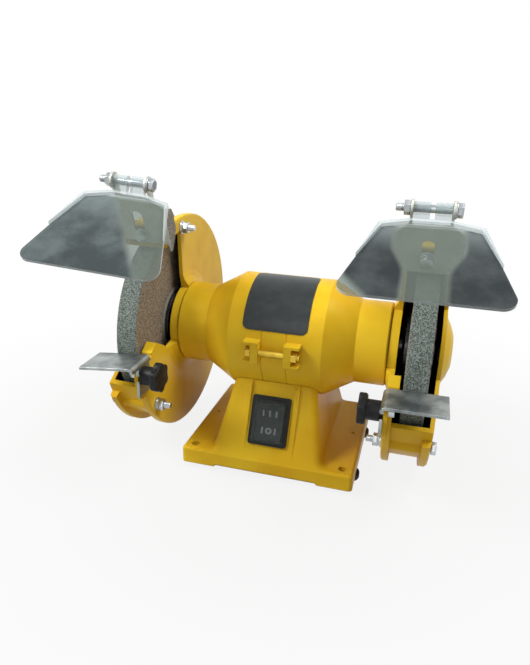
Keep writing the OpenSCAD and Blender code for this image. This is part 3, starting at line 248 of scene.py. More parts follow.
edge_group, source, sink = new_group("edges", [("Radius", FLOAT, 0.8 * MM),
                                               ("Grain", FLOAT, 400.0)],
                                     [("Wear and highlight", FLOAT), ("Rounded", VECTOR)])
rounding = add_node(edge_group, "Bevel", {"samples": 6}, Radius=source.outputs["Radius"])
flat = add_node(edge_group, "NewGeometry").outputs["Normal"]
alike = add_node(edge_group, "VectorMath", {"operation": "DOT_PRODUCT"},
                 _0=rounding.outputs[0], _1=flat).outputs["Value"]
breakup = noise(edge_group, object_place(edge_group), source.outputs["Grain"], detail=5)
edge_mask = steps(edge_group, opposite(edge_group, alike), EDGE_STARTS, EDGE_FULL)
wear_and_highlight = steps(edge_group, times(edge_group, edge_mask, breakup), PATCH_STARTS, PATCH_FULL)
edge_group.links.new(wear_and_highlight, sink.inputs["Wear and highlight"])
edge_group.links.new(rounding.outputs[0], sink.inputs["Rounded"])

# %% [markdown]
# Sprayed paint dries with a skin like orange peel, and moulded plastic has a fine
# texture. Both are far too shallow to model, so noise tilts the surface through a Bump
# node, which builds on the rounded direction that it is given.

# %% Pebbled skin of sprayed paint and moulded plastic
PEBBLE_HEIGHT = 0.3 * MM

skin_group, source, sink = new_group("skin", [("Scale", FLOAT, 600.0),
                                              ("Depth", FLOAT, 0.1),
                                              ("Under", VECTOR, None)],
                                     [("Normal", VECTOR)])
pebbles = noise(skin_group, object_place(skin_group), source.outputs["Scale"], detail=1.5)
bump = add_node(skin_group, "Bump", Strength=source.outputs["Depth"],
                Distance=PEBBLE_HEIGHT, Height=pebbles, Normal=source.outputs["Under"])
skin_group.links.new(bump.outputs[0], sink.inputs["Normal"])

# %% [markdown]
# Rolled and ground metal carries fine marks that all run one way. They are noise, read
# from a place that is squeezed across the marks, so that it is drawn out along them. A
# second, wide noise stands for the clouds of a plated coat.

# %% Brush marks along one direction
CLOUDS_PER_METRE = 55.0

brush_group, source, sink = new_group("brush marks", [("Stretch", VECTOR, (1, 1, 1)),
                                                      ("Scale", FLOAT, 900.0)],
                                      [("Marks", FLOAT), ("Clouds", FLOAT)])
place = object_place(brush_group)
long_place = add_node(brush_group, "Mapping", Vector=place,
                      Scale=source.outputs["Stretch"]).outputs[0]
marks = noise(brush_group, long_place, source.outputs["Scale"], detail=4, roughness=0.7)
clouds = noise(brush_group, place, CLOUDS_PER_METRE, detail=4, roughness=0.6)
brush_group.links.new(marks, sink.inputs["Marks"])
brush_group.links.new(clouds, sink.inputs["Clouds"])
print("groups:", [g.name for g in (edge_group, skin_group, brush_group)])

# %% [markdown]
# A material starts as a Principled shader. What is even over the whole surface is set
# on the shader's own sockets straight away; what varies is linked at the end, and it is
# the same three sockets in nearly every finish.

# %% Starting and ending a material
def new_material(name, roughness, metallic=0.0, **fixed):
    """A material with a Principled shader whose even values are typed in."""
    material = bpy.data.materials.new(name)
    material.use_nodes = True
    shader = material.node_tree.nodes["Principled BSDF"]
    shader.inputs["Roughness"].default_value = roughness
    shader.inputs["Metallic"].default_value = metallic
    for socket, value in fixed.items():
        shader.inputs[socket.replace("_", " ")].default_value = value
    return material, material.node_tree, shader


def use_group(tree, group, **sockets):
    node = tree.nodes.new("ShaderNodeGroup")
    node.node_tree = group
    for name, value in sockets.items():
        connect(tree, value, node.inputs[name])
    return node.outputs


def link_finish(tree, shader, colour, rough, normal):
    tree.links.new(colour, shader.inputs["Base Color"])
    tree.links.new(rough, shader.inputs["Roughness"])
    tree.links.new(normal, shader.inputs["Normal"])


# %% [markdown]
# Several finishes change across a piece, such as the black inside of a guard. Object
# coordinates give the place on the piece, and the plain normal tells which way the
# surface faces. Nearly everything here is round the spindle, so places are counted
# from it.

# %% Places counted from the spindle
def spindle_parts(tree, vector, centred=False):
    """The x, y and z of a vector; centred counts a place's height from the spindle."""
    x, y, z = add_node(tree, "SeparateXYZ", Vector=vector).outputs
    if centred:
        z = minus(tree, z, SHAFT_Z)
    return x, y, z


def radius_of(tree, y, z):
    return math_node(tree, "SQRT", plus(tree, times(tree, y, y), times(tree, z, z)))


# %% [markdown]
# Three kinds of surface make up the inside of a guard: the cover's, which looks back at
# the motor, the back plate's, which looks away from it, and the band's, which looks in
# at the spindle. Each is found by the way it faces and by how far along the spindle it
# lies. The radius keeps the black off the guards' rims.

# %% Inside of a guard
INSIDE_RADIUS = 79.9 * MM
COVER_STARTS = 112 * MM
PLATE_STARTS, PLATE_ENDS = 88.5 * MM, 91.5 * MM
BAND_STARTS = 89.5 * MM
COVER_FACES, PLATE_FACES, BAND_FACES = -0.3, 0.5, -0.5


def faces_wheel(tree):
    """1 on the surfaces inside a guard, 0 outside it."""
    coordinates = add_node(tree, "TexCoord").outputs
    x, y, z = spindle_parts(tree, coordinates["Object"], centred=True)
    nx, ny, nz = spindle_parts(tree, coordinates["Normal"])
    radius = radius_of(tree, y, z)
    along = size_of(tree, x)
    outward = times(tree, math_node(tree, "SIGN", x), nx)
    from_axis = plus(tree, times(tree, y, ny), times(tree, z, nz))
    away = math_node(tree, "DIVIDE", from_axis, radius)
    cover = times(tree, under(tree, outward, COVER_FACES),
                  over(tree, along, COVER_STARTS))
    plate = times(tree, over(tree, outward, PLATE_FACES), under(tree, along, PLATE_ENDS))
    plate = times(tree, plate, over(tree, along, PLATE_STARTS))
    band = times(tree, under(tree, away, BAND_FACES), over(tree, along, BAND_STARTS))
    faces = either(tree, either(tree, cover, plate), band)
    return times(tree, under(tree, radius, INSIDE_RADIUS), faces)


# %% [markdown]
# Yellow enamel: sprayed on the castings, satin, with a soft pebbled skin. The colour
# drifts a little where the coat is thicker, gathers dust in specks and is rubbed to a
# lighter tone on the corners. Inside the guards the colour is black paint together with
# painted shade. A thin brown line of painted shade marks the gap at the joint where
# each end of the motor meets its guard.

# %% Yellow enamel
YELLOW = paint(238, 198, 44)
YELLOW_DEEP = paint(218, 170, 30)
YELLOW_DUSTY = paint(200, 150, 20)
YELLOW_RUBBED = paint(246, 216, 96)
GUARD_INSIDE_DARK = paint(24, 24, 24)
JOINT_SHADE = paint(70, 48, 12)
JOINT_HALF_WIDTH, JOINT_FADES_OUT = 0.3 * MM, 0.9 * MM


def joint_line(tree, place, joint_x):
    """A mask of painted shade on the narrow lines at joint_x to the left and right of the
    middle.
    """
    x = spindle_parts(tree, place)[0]
    off = size_of(tree, minus(tree, size_of(tree, x), joint_x))
    return opposite(tree, steps(tree, off, JOINT_HALF_WIDTH, JOINT_FADES_OUT))


def yellow_enamel(name, guard=False, joint_x=None):
    material, tree, shader = new_material(name, roughness=0.34, Specular_IOR_Level=0.12)
    place = object_place(tree)
    drift = noise(tree, place, scale=14.0)
    speck = noise(tree, place, scale=900.0, detail=2)
    colour = blend_colour(tree, steps(tree, drift, 0.35, 0.7), YELLOW, YELLOW_DEEP)
    dust = times(tree, steps(tree, speck, 0.62, 0.75), 0.25)
    colour = blend_colour(tree, dust, colour, YELLOW_DUSTY)
    edges = use_group(tree, edge_group, Radius=0.9 * MM, Grain=350.0)
    colour = blend_colour(tree, times(tree, edges["Wear and highlight"], 0.6), colour, YELLOW_RUBBED)
    if guard:
        # Inside a guard: black paint, with painted shade.
        colour = blend_colour(tree, faces_wheel(tree), colour, GUARD_INSIDE_DARK)
    if joint_x:
        # Painted shade in the gap of each joint.
        line = times(tree, joint_line(tree, place, joint_x), 0.8)
        colour = blend_colour(tree, line, colour, JOINT_SHADE)
    skin = use_group(tree, skin_group, Scale=420.0, Depth=0.12, Under=edges["Rounded"])
    rough = plus(tree, 0.28, times(tree, drift, 0.14))
    link_finish(tree, shader, colour, rough, skin["Normal"])
    return material


# %% The three enamels
BELL_END = 83.4 * MM
casting_paint = yellow_enamel("yellow enamel")
bell_paint = yellow_enamel("yellow enamel on the motor", joint_x=BELL_END)
guard_paint = yellow_enamel("yellow enamel on the guards", guard=True)
print("enamels:", [m.name for m in (casting_paint, bell_paint, guard_paint)])

# %% [markdown]
# The brackets' flanges hang beside the wheels, and their flat sides get painted shade
# broken into dark and pale specks. The flanges are the flat sides that face along the
# spindle and don't lie far from it. Cells of a Voronoi pattern make the specks: each
# cell is one speck with its own tone.

# %% Painted shade on the bracket flanges
FLANGE_REACH = 121.5 * MM
FLANGE_SHADE_DARK = paint(44, 38, 30)
FLANGE_SHADE_PALE = paint(136, 124, 100)
SPECKS_PER_METRE = 1300.0


def flange_sides(tree):
    """1 on the flat sides of a bracket's flanges, which face along the spindle."""
    coordinates = add_node(tree, "TexCoord").outputs
    _, y, z = spindle_parts(tree, coordinates["Object"], centred=True)
    nx = spindle_parts(tree, coordinates["Normal"])[0]
    sideways = steps(tree, size_of(tree, nx), 0.85, 0.95)
    return times(tree, sideways, under(tree, radius_of(tree, y, z), FLANGE_REACH))


def shade_speckles(tree):
    cells = add_node(tree, "TexVoronoi", Vector=object_place(tree), Scale=SPECKS_PER_METRE)
    grains = add_node(tree, "SeparateColor", Color=cells.outputs["Color"]).outputs[0]
    return blend_colour(tree, steps(tree, grains, 0.3, 0.9), FLANGE_SHADE_DARK, FLANGE_SHADE_PALE)


# %% [markdown]
# Zinc plate: bluish grey metal, brushed in the direction of the rolling, with dull
# clouds where the plating has bloomed. The brush marks come from noise that is
# stretched along one axis; they change both the colour and the roughness. The same
# recipe with other tones gives the turned steel and the cast aluminium.

# %% Zinc plate and bare metals
BRIGHT_EDGE = paint(236, 238, 240)
MARK_DEPTH = 0.2 * MM


def metal(name, light, dark, roughness, stretch, scale=900.0, cloudy=0.5, wear=0.35,
          flange_shade=0.0, metallic=1.0):
    """Brushed metal between two tones; a high stretch on an axis squeezes it there."""
    material, tree, shader = new_material(name, roughness, metallic)
    brush = use_group(tree, brush_group, Stretch=stretch, Scale=scale)
    tone = plus(tree, times(tree, brush["Clouds"], cloudy),
                times(tree, brush["Marks"], 1.0 - cloudy))
    colour = blend_colour(tree, steps(tree, tone, 0.32, 0.68), dark, light)
    edges = use_group(tree, edge_group, Radius=0.5 * MM, Grain=500.0)
    colour = blend_colour(tree, times(tree, edges["Wear and highlight"], wear), colour, BRIGHT_EDGE)
    # Painted shade in specks on the flat sides of a bracket's flanges.
    if flange_shade:
        grains = shade_speckles(tree)
        share = times(tree, flange_sides(tree), flange_shade)
        colour = blend_colour(tree, share, colour, grains)
    rough = plus(tree, roughness - 0.08, times(tree, tone, 0.18))
    bump = add_node(tree, "Bump", Strength=0.12, Distance=MARK_DEPTH,
                    Height=brush["Marks"], Normal=edges["Rounded"])
    link_finish(tree, shader, colour, rough, bump.outputs[0])
    return material


# %% Metals of the outside
rest_zinc = metal("zinc plate of the rests", light=paint(176, 182, 180),
                  dark=paint(96, 104, 106), roughness=0.42, stretch=(1, 14, 14),
                  cloudy=0.75, wear=0.9)
bracket_zinc = metal("zinc plate of the brackets", light=paint(214, 216, 206),
                     dark=paint(174, 176, 164), roughness=0.5, stretch=(10, 10, 1),
                     flange_shade=0.85, metallic=0.55)
# The tie bolts' gold tone is yellow zinc plate together with a painted reflection of the
# yellow paint round them.
tie_zinc = metal("yellow zinc of the tie bolts", light=paint(228, 198, 78),
                 dark=paint(168, 136, 44), roughness=0.38, stretch=(1, 9, 9),
                 scale=1400.0)
fastener_zinc = metal("zinc of the fasteners", light=paint(206, 210, 212),
                      dark=paint(150, 156, 160), roughness=0.3, stretch=(6, 1, 1),
                      scale=500.0, cloudy=0.7, wear=0.6)
print("plated:", [m.name for m in (rest_zinc, bracket_zinc, tie_zinc, fastener_zinc)])

# %% Metals of the inside and underneath
machined_steel = metal("machined steel", light=paint(186, 186, 188),
                       dark=paint(140, 140, 142), roughness=0.3, stretch=(14, 1, 1),
                       scale=1200.0)
cast_aluminium = metal("cast aluminium", light=paint(202, 204, 206),
                       dark=paint(168, 170, 172), roughness=0.45, stretch=(1, 1, 1),
                       scale=700.0, cloudy=0.8)
cover_steel = metal("sheet steel", light=paint(150, 152, 152), dark=paint(104, 106, 108),
                    roughness=0.42, stretch=(1, 12, 12))
print("bare:", [m.name for m in (machined_steel, cast_aluminium, cover_steel)])

# %% [markdown]
# Dull and moulded materials: black plastic of the knobs and switch, rubber feet, the
# black paint on the wheel flanges and their nuts, the film of the label, the white
# marks of the switch, paper washers and copper wire. They share a recipe: a base
# colour broken by grain, a moulded skin and a painted highlight on the corners.

# %% Moulded skin
def paler(colour):
    """The tone of the painted highlight on a corner."""
    return tuple(min(1, part * 2.5 + 0.02) for part in colour[:3]) + (1,)


def moulded(name, base, lighter, roughness, scale, depth, **fixed):
    material, tree, shader = new_material(name, roughness, **fixed)
    tone = noise(tree, object_place(tree), scale, detail=4)
    edges = use_group(tree, edge_group, Radius=0.6 * MM, Grain=420.0)
    colour = blend_colour(tree, steps(tree, tone, 0.35, 0.75), base, lighter)
    # The corners of the plastics get a painted highlight.
    lit_corners = times(tree, edges["Wear and highlight"], 0.35)
    colour = blend_colour(tree, lit_corners, colour, paler(lighter))
    skin = use_group(tree, skin_group, Scale=scale * 2, Depth=depth,
                     Under=edges["Rounded"])
    rough = plus(tree, roughness - 0.05, times(tree, tone, 0.12))
    link_finish(tree, shader, colour, rough, skin["Normal"])
    return material


# %% Plastics and rubber
black_plastic = moulded("black plastic", base=paint(20, 21, 20),
                        lighter=paint(30, 31, 30), roughness=0.42, scale=300.0,
                        depth=0.2, Specular_IOR_Level=0.2)
rocker_plastic = moulded("rocker plastic", base=paint(36, 40, 40),
                         lighter=paint(50, 54, 54), roughness=0.36, scale=300.0,
                         depth=0.1, Specular_IOR_Level=0.25)
foot_rubber = moulded("foot rubber", base=paint(24, 24, 25), lighter=paint(36, 36, 37),
                      roughness=0.8, scale=500.0, depth=0.4)
label_film = moulded("label film", base=paint(34, 40, 40), lighter=paint(44, 50, 50),
                     roughness=0.3, scale=120.0, depth=0.03, Coat_Weight=0.1,
                     Specular_IOR_Level=0.3)
print("plastics:", [m.name for m in (black_plastic, rocker_plastic, foot_rubber)])

# %% Paint, paper and copper
flange_black = moulded("black paint on the flanges", base=paint(14, 16, 18),
                       lighter=paint(26, 29, 32), roughness=0.26, scale=220.0,
                       depth=0.08, Coat_Weight=0.4)
mark_white = moulded("white marks", base=paint(226, 228, 226),
                     lighter=paint(238, 240, 238), roughness=0.5, scale=300.0,
                     depth=0.05)
blotter_paper = moulded("blotter paper", base=paint(150, 146, 134),
                        lighter=paint(176, 172, 160), roughness=0.9, scale=600.0,
                        depth=0.4)
copper_wire = moulded("copper wire", base=paint(168, 96, 48),
                      lighter=paint(196, 122, 70), roughness=0.35, scale=400.0,
                      depth=0.3)
print("others:", [m.name for m in (flange_black, mark_white, copper_wire)])

# %% [markdown]
# The wheels are bonded abrasive: dark and pale grains about half a millimetre across in
# a grey bond. Cells from a Voronoi pattern stand for the grains, and each cell gets its
# own tone, so that the surface sparkles rather than looking like smooth noise. The
# flat sides are worn less and look browner than the grinding face.

# %% Abrasive
GRAINS_PER_METRE, FINES_PER_METRE = 1700.0, 3200.0
GRAIN_DEPTH = 0.5 * MM


def abrasive():
    material, tree, shader = new_material("abrasive", roughness=0.85,
                                          Specular_IOR_Level=0.35)
    coordinates = add_node(tree, "TexCoord").outputs
    place = coordinates["Object"]
    cells = add_node(tree, "TexVoronoi", Vector=place, Scale=GRAINS_PER_METRE)
    fine = add_node(tree, "TexVoronoi", Vector=place, Scale=FINES_PER_METRE)
    tone = add_node(tree, "SeparateColor", Color=cells.outputs["Color"]).outputs[0]
    small = add_node(tree, "SeparateColor", Color=fine.outputs["Color"]).outputs[1]
    mixed = plus(tree, times(tree, tone, 0.6), times(tree, small, 0.4))
    face = blend_colour(tree, steps(tree, mixed, 0.25, 0.8), paint(66, 75, 70),
                        paint(146, 157, 148))
    brown = blend_colour(tree, steps(tree, mixed, 0.25, 0.8), paint(96, 84, 70),
                         paint(182, 166, 144))
    nx = add_node(tree, "SeparateXYZ", Vector=coordinates["Normal"]).outputs[0]
    flat_side = steps(tree, size_of(tree, nx), 0.6, 0.8)
    glint = times(tree, steps(tree, small, 0.93, 0.97), 0.7)
    colour = blend_colour(tree, flat_side, face, brown)
    colour = blend_colour(tree, glint, colour, paint(214, 218, 214))
    height = plus(tree, mixed, cells.outputs["Distance"])
    bump = add_node(tree, "Bump", Strength=0.55, Distance=GRAIN_DEPTH, Height=height)
    tree.links.new(colour, shader.inputs["Base Color"])
    tree.links.new(bump.outputs[0], shader.inputs["Normal"])
    return material


abrasive_stone = abrasive()
print("wheels:", abrasive_stone.name, "of", len(abrasive_stone.node_tree.nodes), "nodes")

# %% [markdown]
# The bracket's frame is needed for the visors' finish and for the screws further on. It
# leans with the guard's end; the left one is also skewed, drawn out and set over, as
# someone last left it. Each visor then slopes down from its hinge.

# %% Frames of the brackets
GUARD_TOP_ANGLE = math.radians(28.5)
BRACKET_X, BRACKET_BOLT_R, HINGE_REACH = 102.1, 92.0, 131.0

# Name: side of the machine, how far the bracket is drawn out, its skew, the visor's
# slope, and how far the bracket is set over.
SETTINGS = {"left": (-1, 6.0, math.radians(5), math.radians(31), 1.3),
            "right": (1, 0.0, 0.0, math.radians(24), 0.0)}


def bolt_frame(name, shift=0.0):
    side = SETTINGS[name][0]
    lean = Matrix.Translation((0, 0, SHAFT_Z)) @ Matrix.Rotation(GUARD_TOP_ANGLE, 4, "X")
    return lean @ Matrix.Translation((side * (BRACKET_X + shift) * MM, 0,
                                      BRACKET_BOLT_R * MM))


def hinge_frame(name):
    _, out, skew, _, shift = SETTINGS[name]
    return (bolt_frame(name, shift) @ Matrix.Rotation(skew, 4, "Y")
            @ Matrix.Translation((0, 0, (out - BRACKET_BOLT_R + HINGE_REACH) * MM)))


print("hinges:", [[round(c, 4) for c in hinge_frame(n).translation] for n in SETTINGS])

# %% [markdown]
# A visor's finish changes across its sheet, so it needs places counted on the sheet.
# The visor's own frame has its origin on the hinge: u runs across the sheet, v down it
# and w out of it. A dot product with each of its directions gives the three.

# %% Places on a visor
def along_axis(tree, vector, axis):
    return add_node(tree, "VectorMath", {"operation": "DOT_PRODUCT"}, _0=vector,
                    _1=axis).outputs["Value"]


def visor_place(tree, name):
    """How far a point lies across, down and out of a visor's sheet, and its flatness."""
    slope = SETTINGS[name][3]
    sheet = hinge_frame(name) @ Matrix.Rotation(slope - GUARD_TOP_ANGLE, 4, "X")
    across, back, out = (Vector(column[:3]) for column in list(sheet.transposed())[:3])
    coordinates = add_node(tree, "TexCoord").outputs
    offset = add_node(tree, "VectorMath", {"operation": "SUBTRACT"},
                      _0=coordinates["Object"], _1=sheet.translation).outputs[0]
    u, v, w = (along_axis(tree, offset, axis) for axis in (across, -back, out))
    return u, v, w, size_of(tree, along_axis(tree, coordinates["Normal"], out))


# %% [markdown]
# The visors are moulded in clear plastic. Over most of a sheet a grey veil is painted
# shade: it stands for the dark room seen through the sheet, and darkens the world
# behind it. A Principled shader for the veil is mixed with a tinted Transparent shader,
# which keeps thin clear sheet clean at few samples. A sheet shows more of its veil
# where it turns away from the eye, so Layer Weight thickens it there.

# %% Veil over a clear view
def clear_mix(material, tint, share, rim_share, rim_mask=1.0):
    """Mixes a Principled veil with a tinted view through it, thicker at the rims."""
    tree = material.node_tree
    rim = add_node(tree, "LayerWeight", Blend=0.4).outputs["Facing"]
    rim = times(tree, times(tree, rim, rim_mask), rim_share)
    share = math_node(tree, "MINIMUM", plus(tree, share, rim), 1.0)
    see_through = add_node(tree, "BsdfTransparent", Color=tint)
    mix = add_node(tree, "MixShader", _0=share, _1=see_through.outputs[0],
                   _2=tree.nodes["Principled BSDF"].outputs[0])
    tree.links.new(mix.outputs[0], tree.nodes["Material Output"].inputs["Surface"])


# %% [markdown]
# The veil of painted shade is heavy on most of the sheet, thin where the sheet shows
# clear, and lighter near the hinge. The knuckles, the raised lip and the cut edges
# gather light, so they get a pale painted highlight. The lip stands proud of the sheet,
# so its w is higher, and the knuckles have the lowest v.

# %% Sheet of a visor, with painted shade and painted highlights
LIP_STARTS, LIP_FULL = -5.8 * MM, -5.2 * MM
KNUCKLE_FULL, KNUCKLE_ENDS = 8.5 * MM, 10.5 * MM
LIGHTER_FULL, LIGHTER_ENDS = 12 * MM, 40 * MM
LIGHTER_NEAR_HINGE = paint(150, 162, 162)
CLEAR_TONE = paint(142, 152, 144)
SCUFF_TONE = paint(206, 212, 212)
PAINTED_HIGHLIGHT = paint(222, 230, 232)
CLEAR_VEIL, HIGHLIGHT_VEIL = 0.3, 0.16
SHEET_TINT, EDGE_TINT = paint(206, 212, 210), paint(240, 244, 244)


def highlighted_parts(tree, v, w, flatness):
    """A mask of painted highlight on the cut edges, the raised lip and the knuckles."""
    cut_edge = opposite(tree, steps(tree, flatness, 0.5, 0.9))
    lip = steps(tree, w, LIP_STARTS, LIP_FULL)
    knuckles = opposite(tree, steps(tree, v, KNUCKLE_FULL, KNUCKLE_ENDS))
    return either(tree, either(tree, cut_edge, lip), knuckles)


def visor_sheet(name, clear_zone, dark, light, shade_share):
    material, tree, shader = new_material("sheet with painted shade, " + name, roughness=0.14,
                                          IOR=1.49, Specular_IOR_Level=0.1)
    u, v, w, flatness = visor_place(tree, name)
    place = object_place(tree)
    clear = clear_zone(tree, u, v)
    shade_patches = noise(tree, place, scale=38.0, detail=4)
    marks = noise(tree, place, scale=260.0, detail=5, roughness=0.75, stretch=(1, 9, 1))
    # Painted shade: the dark room seen through the sheet, in random patches.
    painted_dark = blend_colour(tree, steps(tree, shade_patches, 0.35, 0.68), dark, light)
    # The painted shade is lighter near the hinge.
    near_hinge = opposite(tree, steps(tree, v, LIGHTER_FULL, LIGHTER_ENDS))
    painted_dark = blend_colour(tree, times(tree, near_hinge, 0.4), painted_dark, LIGHTER_NEAR_HINGE)
    colour = blend_colour(tree, clear, painted_dark, CLEAR_TONE)
    scuffed = times(tree, steps(tree, marks, 0.62, 0.72), 0.16)
    colour = blend_colour(tree, scuffed, colour, SCUFF_TONE)
    # Painted highlight on the knuckles, the lip and the cut edges.
    highlighted = highlighted_parts(tree, v, w, flatness)
    colour = blend_colour(tree, highlighted, colour, PAINTED_HIGHLIGHT)
    veil = blend_value(tree, highlighted, blend_value(tree, clear, shade_share, CLEAR_VEIL),
                       HIGHLIGHT_VEIL)
    tint = blend_colour(tree, highlighted, SHEET_TINT, EDGE_TINT)
    tree.links.new(colour, shader.inputs["Base Color"])
    clear_mix(material, tint, veil, rim_share=0.75, rim_mask=highlighted)
    return material


# %% [markdown]
# Each sheet shows clear, with a thin veil of painted shade, in its own places. The left
# one is clear to the right of a line that slants across it. The right one is clear in a
# strip down its middle, which narrows towards the bottom, and in one low corner. Soft
# ramps keep these borders from looking cut out.

# %% Clear zones of the two sheets
STRIP_EDGE, STRIP_FADES_OUT = 17.5 * MM, 23.5 * MM
STRIP_NARROWS_BY = 8.5 * MM


def clear_past_a_line(tree, u, v):
    """The clear part of the left sheet."""
    line = minus(tree, u, times(tree, v, 0.6))
    return steps(tree, line, -18 * MM, -10 * MM)


def clear_in_the_middle(tree, u, v):
    """The clear parts of the right sheet."""
    narrow = times(tree, steps(tree, v, 30 * MM, 58 * MM), STRIP_NARROWS_BY)
    off = plus(tree, size_of(tree, u), narrow)
    strip = opposite(tree, steps(tree, off, STRIP_EDGE, STRIP_FADES_OUT))
    corner = minus(tree, v, times(tree, u, 1.15))
    return either(tree, strip, steps(tree, corner, 110 * MM, 119 * MM))


# The right sheet's painted shade is darker and heavier.
left_sheet = visor_sheet("left", clear_past_a_line, dark=paint(64, 72, 74),
                         light=paint(98, 108, 108), shade_share=0.84)
right_sheet = visor_sheet("right", clear_in_the_middle, dark=paint(48, 54, 55),
                          light=paint(72, 78, 79), shade_share=0.92)
print("sheets:", [m.name for m in (left_sheet, right_sheet)])

# %% [markdown]
# A soft clear boot covers the switch's rocker. It is thin and cloudy, and the same mix
# of veil and view serves it with a much lighter veil.

# %% Clear boot
def boot():
    material, tree, shader = new_material("clear boot", roughness=0.16, IOR=1.45)
    cloud = noise(tree, object_place(tree), scale=300.0)
    colour = blend_colour(tree, cloud, paint(84, 94, 92), paint(156, 166, 162))
    tree.links.new(colour, shader.inputs["Base Color"])
    clear_mix(material, paint(236, 238, 238), share=0.12, rim_share=0.4)
    return material


boot_sheet = boot()
print("boot:", boot_sheet.name)

# %% [markdown]
# Now each CAD node takes its finish. The mesh of a node is left alone; only the
# material in its slot changes.

# %% Dress the CAD nodes
def dress(material, *names):
    for name in names:
        slots = nodes[name].data.materials
        slots.clear()
        slots.append(material)


dress(casting_paint, "base_casting", "stator_shell")
dress(bell_paint, "bell_left", "bell_right")
dress(guard_paint, "inner_guard_left", "inner_guard_right", "outer_guard_left",
      "outer_guard_right")
dress(rest_zinc, "rest_left", "rest_right")
dress(bracket_zinc, "bracket_left", "bracket_right")
dress(tie_zinc, "tie_bolts", "tie_nuts")
dress(fastener_zinc, "cover_screws", "foot_screws", "capacitor_clamp", "clamp_screws",
      "saddle_screws", "guard_screws", "guard_bolts", "guard_nuts", "stud_left",
      "stud_right", "bracket_bolts", "bracket_washers", "hinge_bolt_left",
      "hinge_bolt_right", "hinge_nut_left", "hinge_nut_right")
dress(machined_steel, "spindle", "bearing_outers", "bearing_inners", "bearing_balls",
      "stator_core")
dress(cast_aluminium, "rotor", "capacitor")
dress(cover_steel, "bottom_cover")
dress(flange_black, "inner_flanges", "outer_flanges", "arbor_nuts")
dress(abrasive_stone, "wheel_left", "wheel_right")
dress(blotter_paper, "blotters")
dress(copper_wire, "windings")
dress(label_film, "label")
dress(black_plastic, "switch_housing", "cable_gland", "gland_nut", "knob_left",
      "knob_right")
dress(rocker_plastic, "rocker")
dress(mark_white, "rocker_marks")
dress(boot_sheet, "switch_boot")
dress(foot_rubber, "rubber_feet")
dress(left_sheet, "visor_left")
dress(right_sheet, "visor_right")
print("dressed", len(nodes), "nodes")

# %% [markdown]
# The fasteners are small but they are what makes a machine look real, so the plain
# rods and hexagons of the CAD model are made again with threads, chamfers and
# washers. A thread is turned: a zigzag line spun round its axis. Rings are used in
# place of a true helix, because at this size nobody can tell them apart.

# %% Turning
def made_since(bm, before):
    return [v for v in bm.verts if v not in before]


def put_in_place(bm, before, frame_matrix):
    bmesh.ops.transform(bm, matrix=frame_matrix, verts=made_since(bm, before))


def turned(bm, profile, frame_matrix, sides=28):
    """Spins (radius, height) points round Z, then puts the result in its frame."""
    before = set(bm.verts)
    line = [bm.verts.new((r * MM, 0, z * MM)) for r, z in profile]
    edges = [bm.edges.new(pair) for pair in zip(line, line[1:])]
    bmesh.ops.spin(bm, geom=line + edges, cent=(0, 0, 0), axis=(0, 0, 1),
                   angle=math.tau, steps=sides, use_merge=True)
    put_in_place(bm, before, frame_matrix)


def stub(low, low_radius, high, high_radius):
    """Points of a short cylinder or cone between two heights."""
    return [(0, low), (low_radius, low), (high_radius, high), (0, high)]


# %% [markdown]
# A hexagonal head starts as a cone of six sides with equal ends. The edges round its
# two ends are the level ones, and a small bevel softens them.

# %% Hexagons
LEVEL = 1e-6


def round_rims(bm, before, offset, segments):
    """Bevels the level edges of what was made since before."""
    rims = {e for v in made_since(bm, before) for e in v.link_edges
            if abs(e.verts[0].co.z - e.verts[1].co.z) < LEVEL}
    bmesh.ops.bevel(bm, geom=list(rims), offset=offset * MM, segments=segments,
                    profile=0.5, affect="EDGES", material=-1)


def hexagon(bm, radius, low, high, frame_matrix, chamfer=0.35):
    """A hexagonal head or nut between two heights, with softened rims."""
    before = set(bm.verts)
    bmesh.ops.create_cone(bm, cap_ends=True, segments=6, radius1=radius * MM,
                          radius2=radius * MM, depth=(high - low) * MM,
                          matrix=Matrix.Translation((0, 0, (low + high) / 2 * MM)))
    round_rims(bm, before, chamfer, segments=2)
    put_in_place(bm, before, frame_matrix)


# %% [markdown]
# A thread's outline is a zigzag between its crest and its root, with a small point at
# the tip. An aimed frame carries a screw to its place and turns it the right way.

# %% Threads and places
PITCH, THREAD_DEPTH = 0.8, 0.32
POINT_NARROWER, POINT_LENGTH = 0.3, 0.4


def thread_profile(radius, low, high):
    """Points of a threaded end from its tip at low up to high."""
    root = radius - THREAD_DEPTH
    points = [(0, low), (root - POINT_NARROWER, low), (root, low + POINT_LENGTH)]
    crest = low + POINT_LENGTH + PITCH / 2
    while crest < high - PITCH / 2:
        points += [(radius, crest), (root, crest + PITCH / 2)]
        crest += PITCH
    return points + [(radius, high)]


def aimed(place, direction):
    """A frame at place, in millimetres, whose Z axis points along direction."""
    turn = Vector(direction).to_track_quat("Z", "X").to_matrix().to_4x4()
    return Matrix.Translation(Vector(place) * MM) @ turn


M5, HEX5 = 2.5, 4.62
print("points of a 12 mm thread:", len(thread_profile(M5, 0, 12)))

# %% [markdown]
# Every new piece ends the same way. Doubled points are merged, the faces are turned
# outwards, and smooth shading stops at the sharp corners. Then the piece is handed over
# with the body that it rides on and the CAD nodes that it stands for.

# %% Finishing a piece
SAME_POINT = 1e-6
SHARP_ANGLE = math.radians(35)


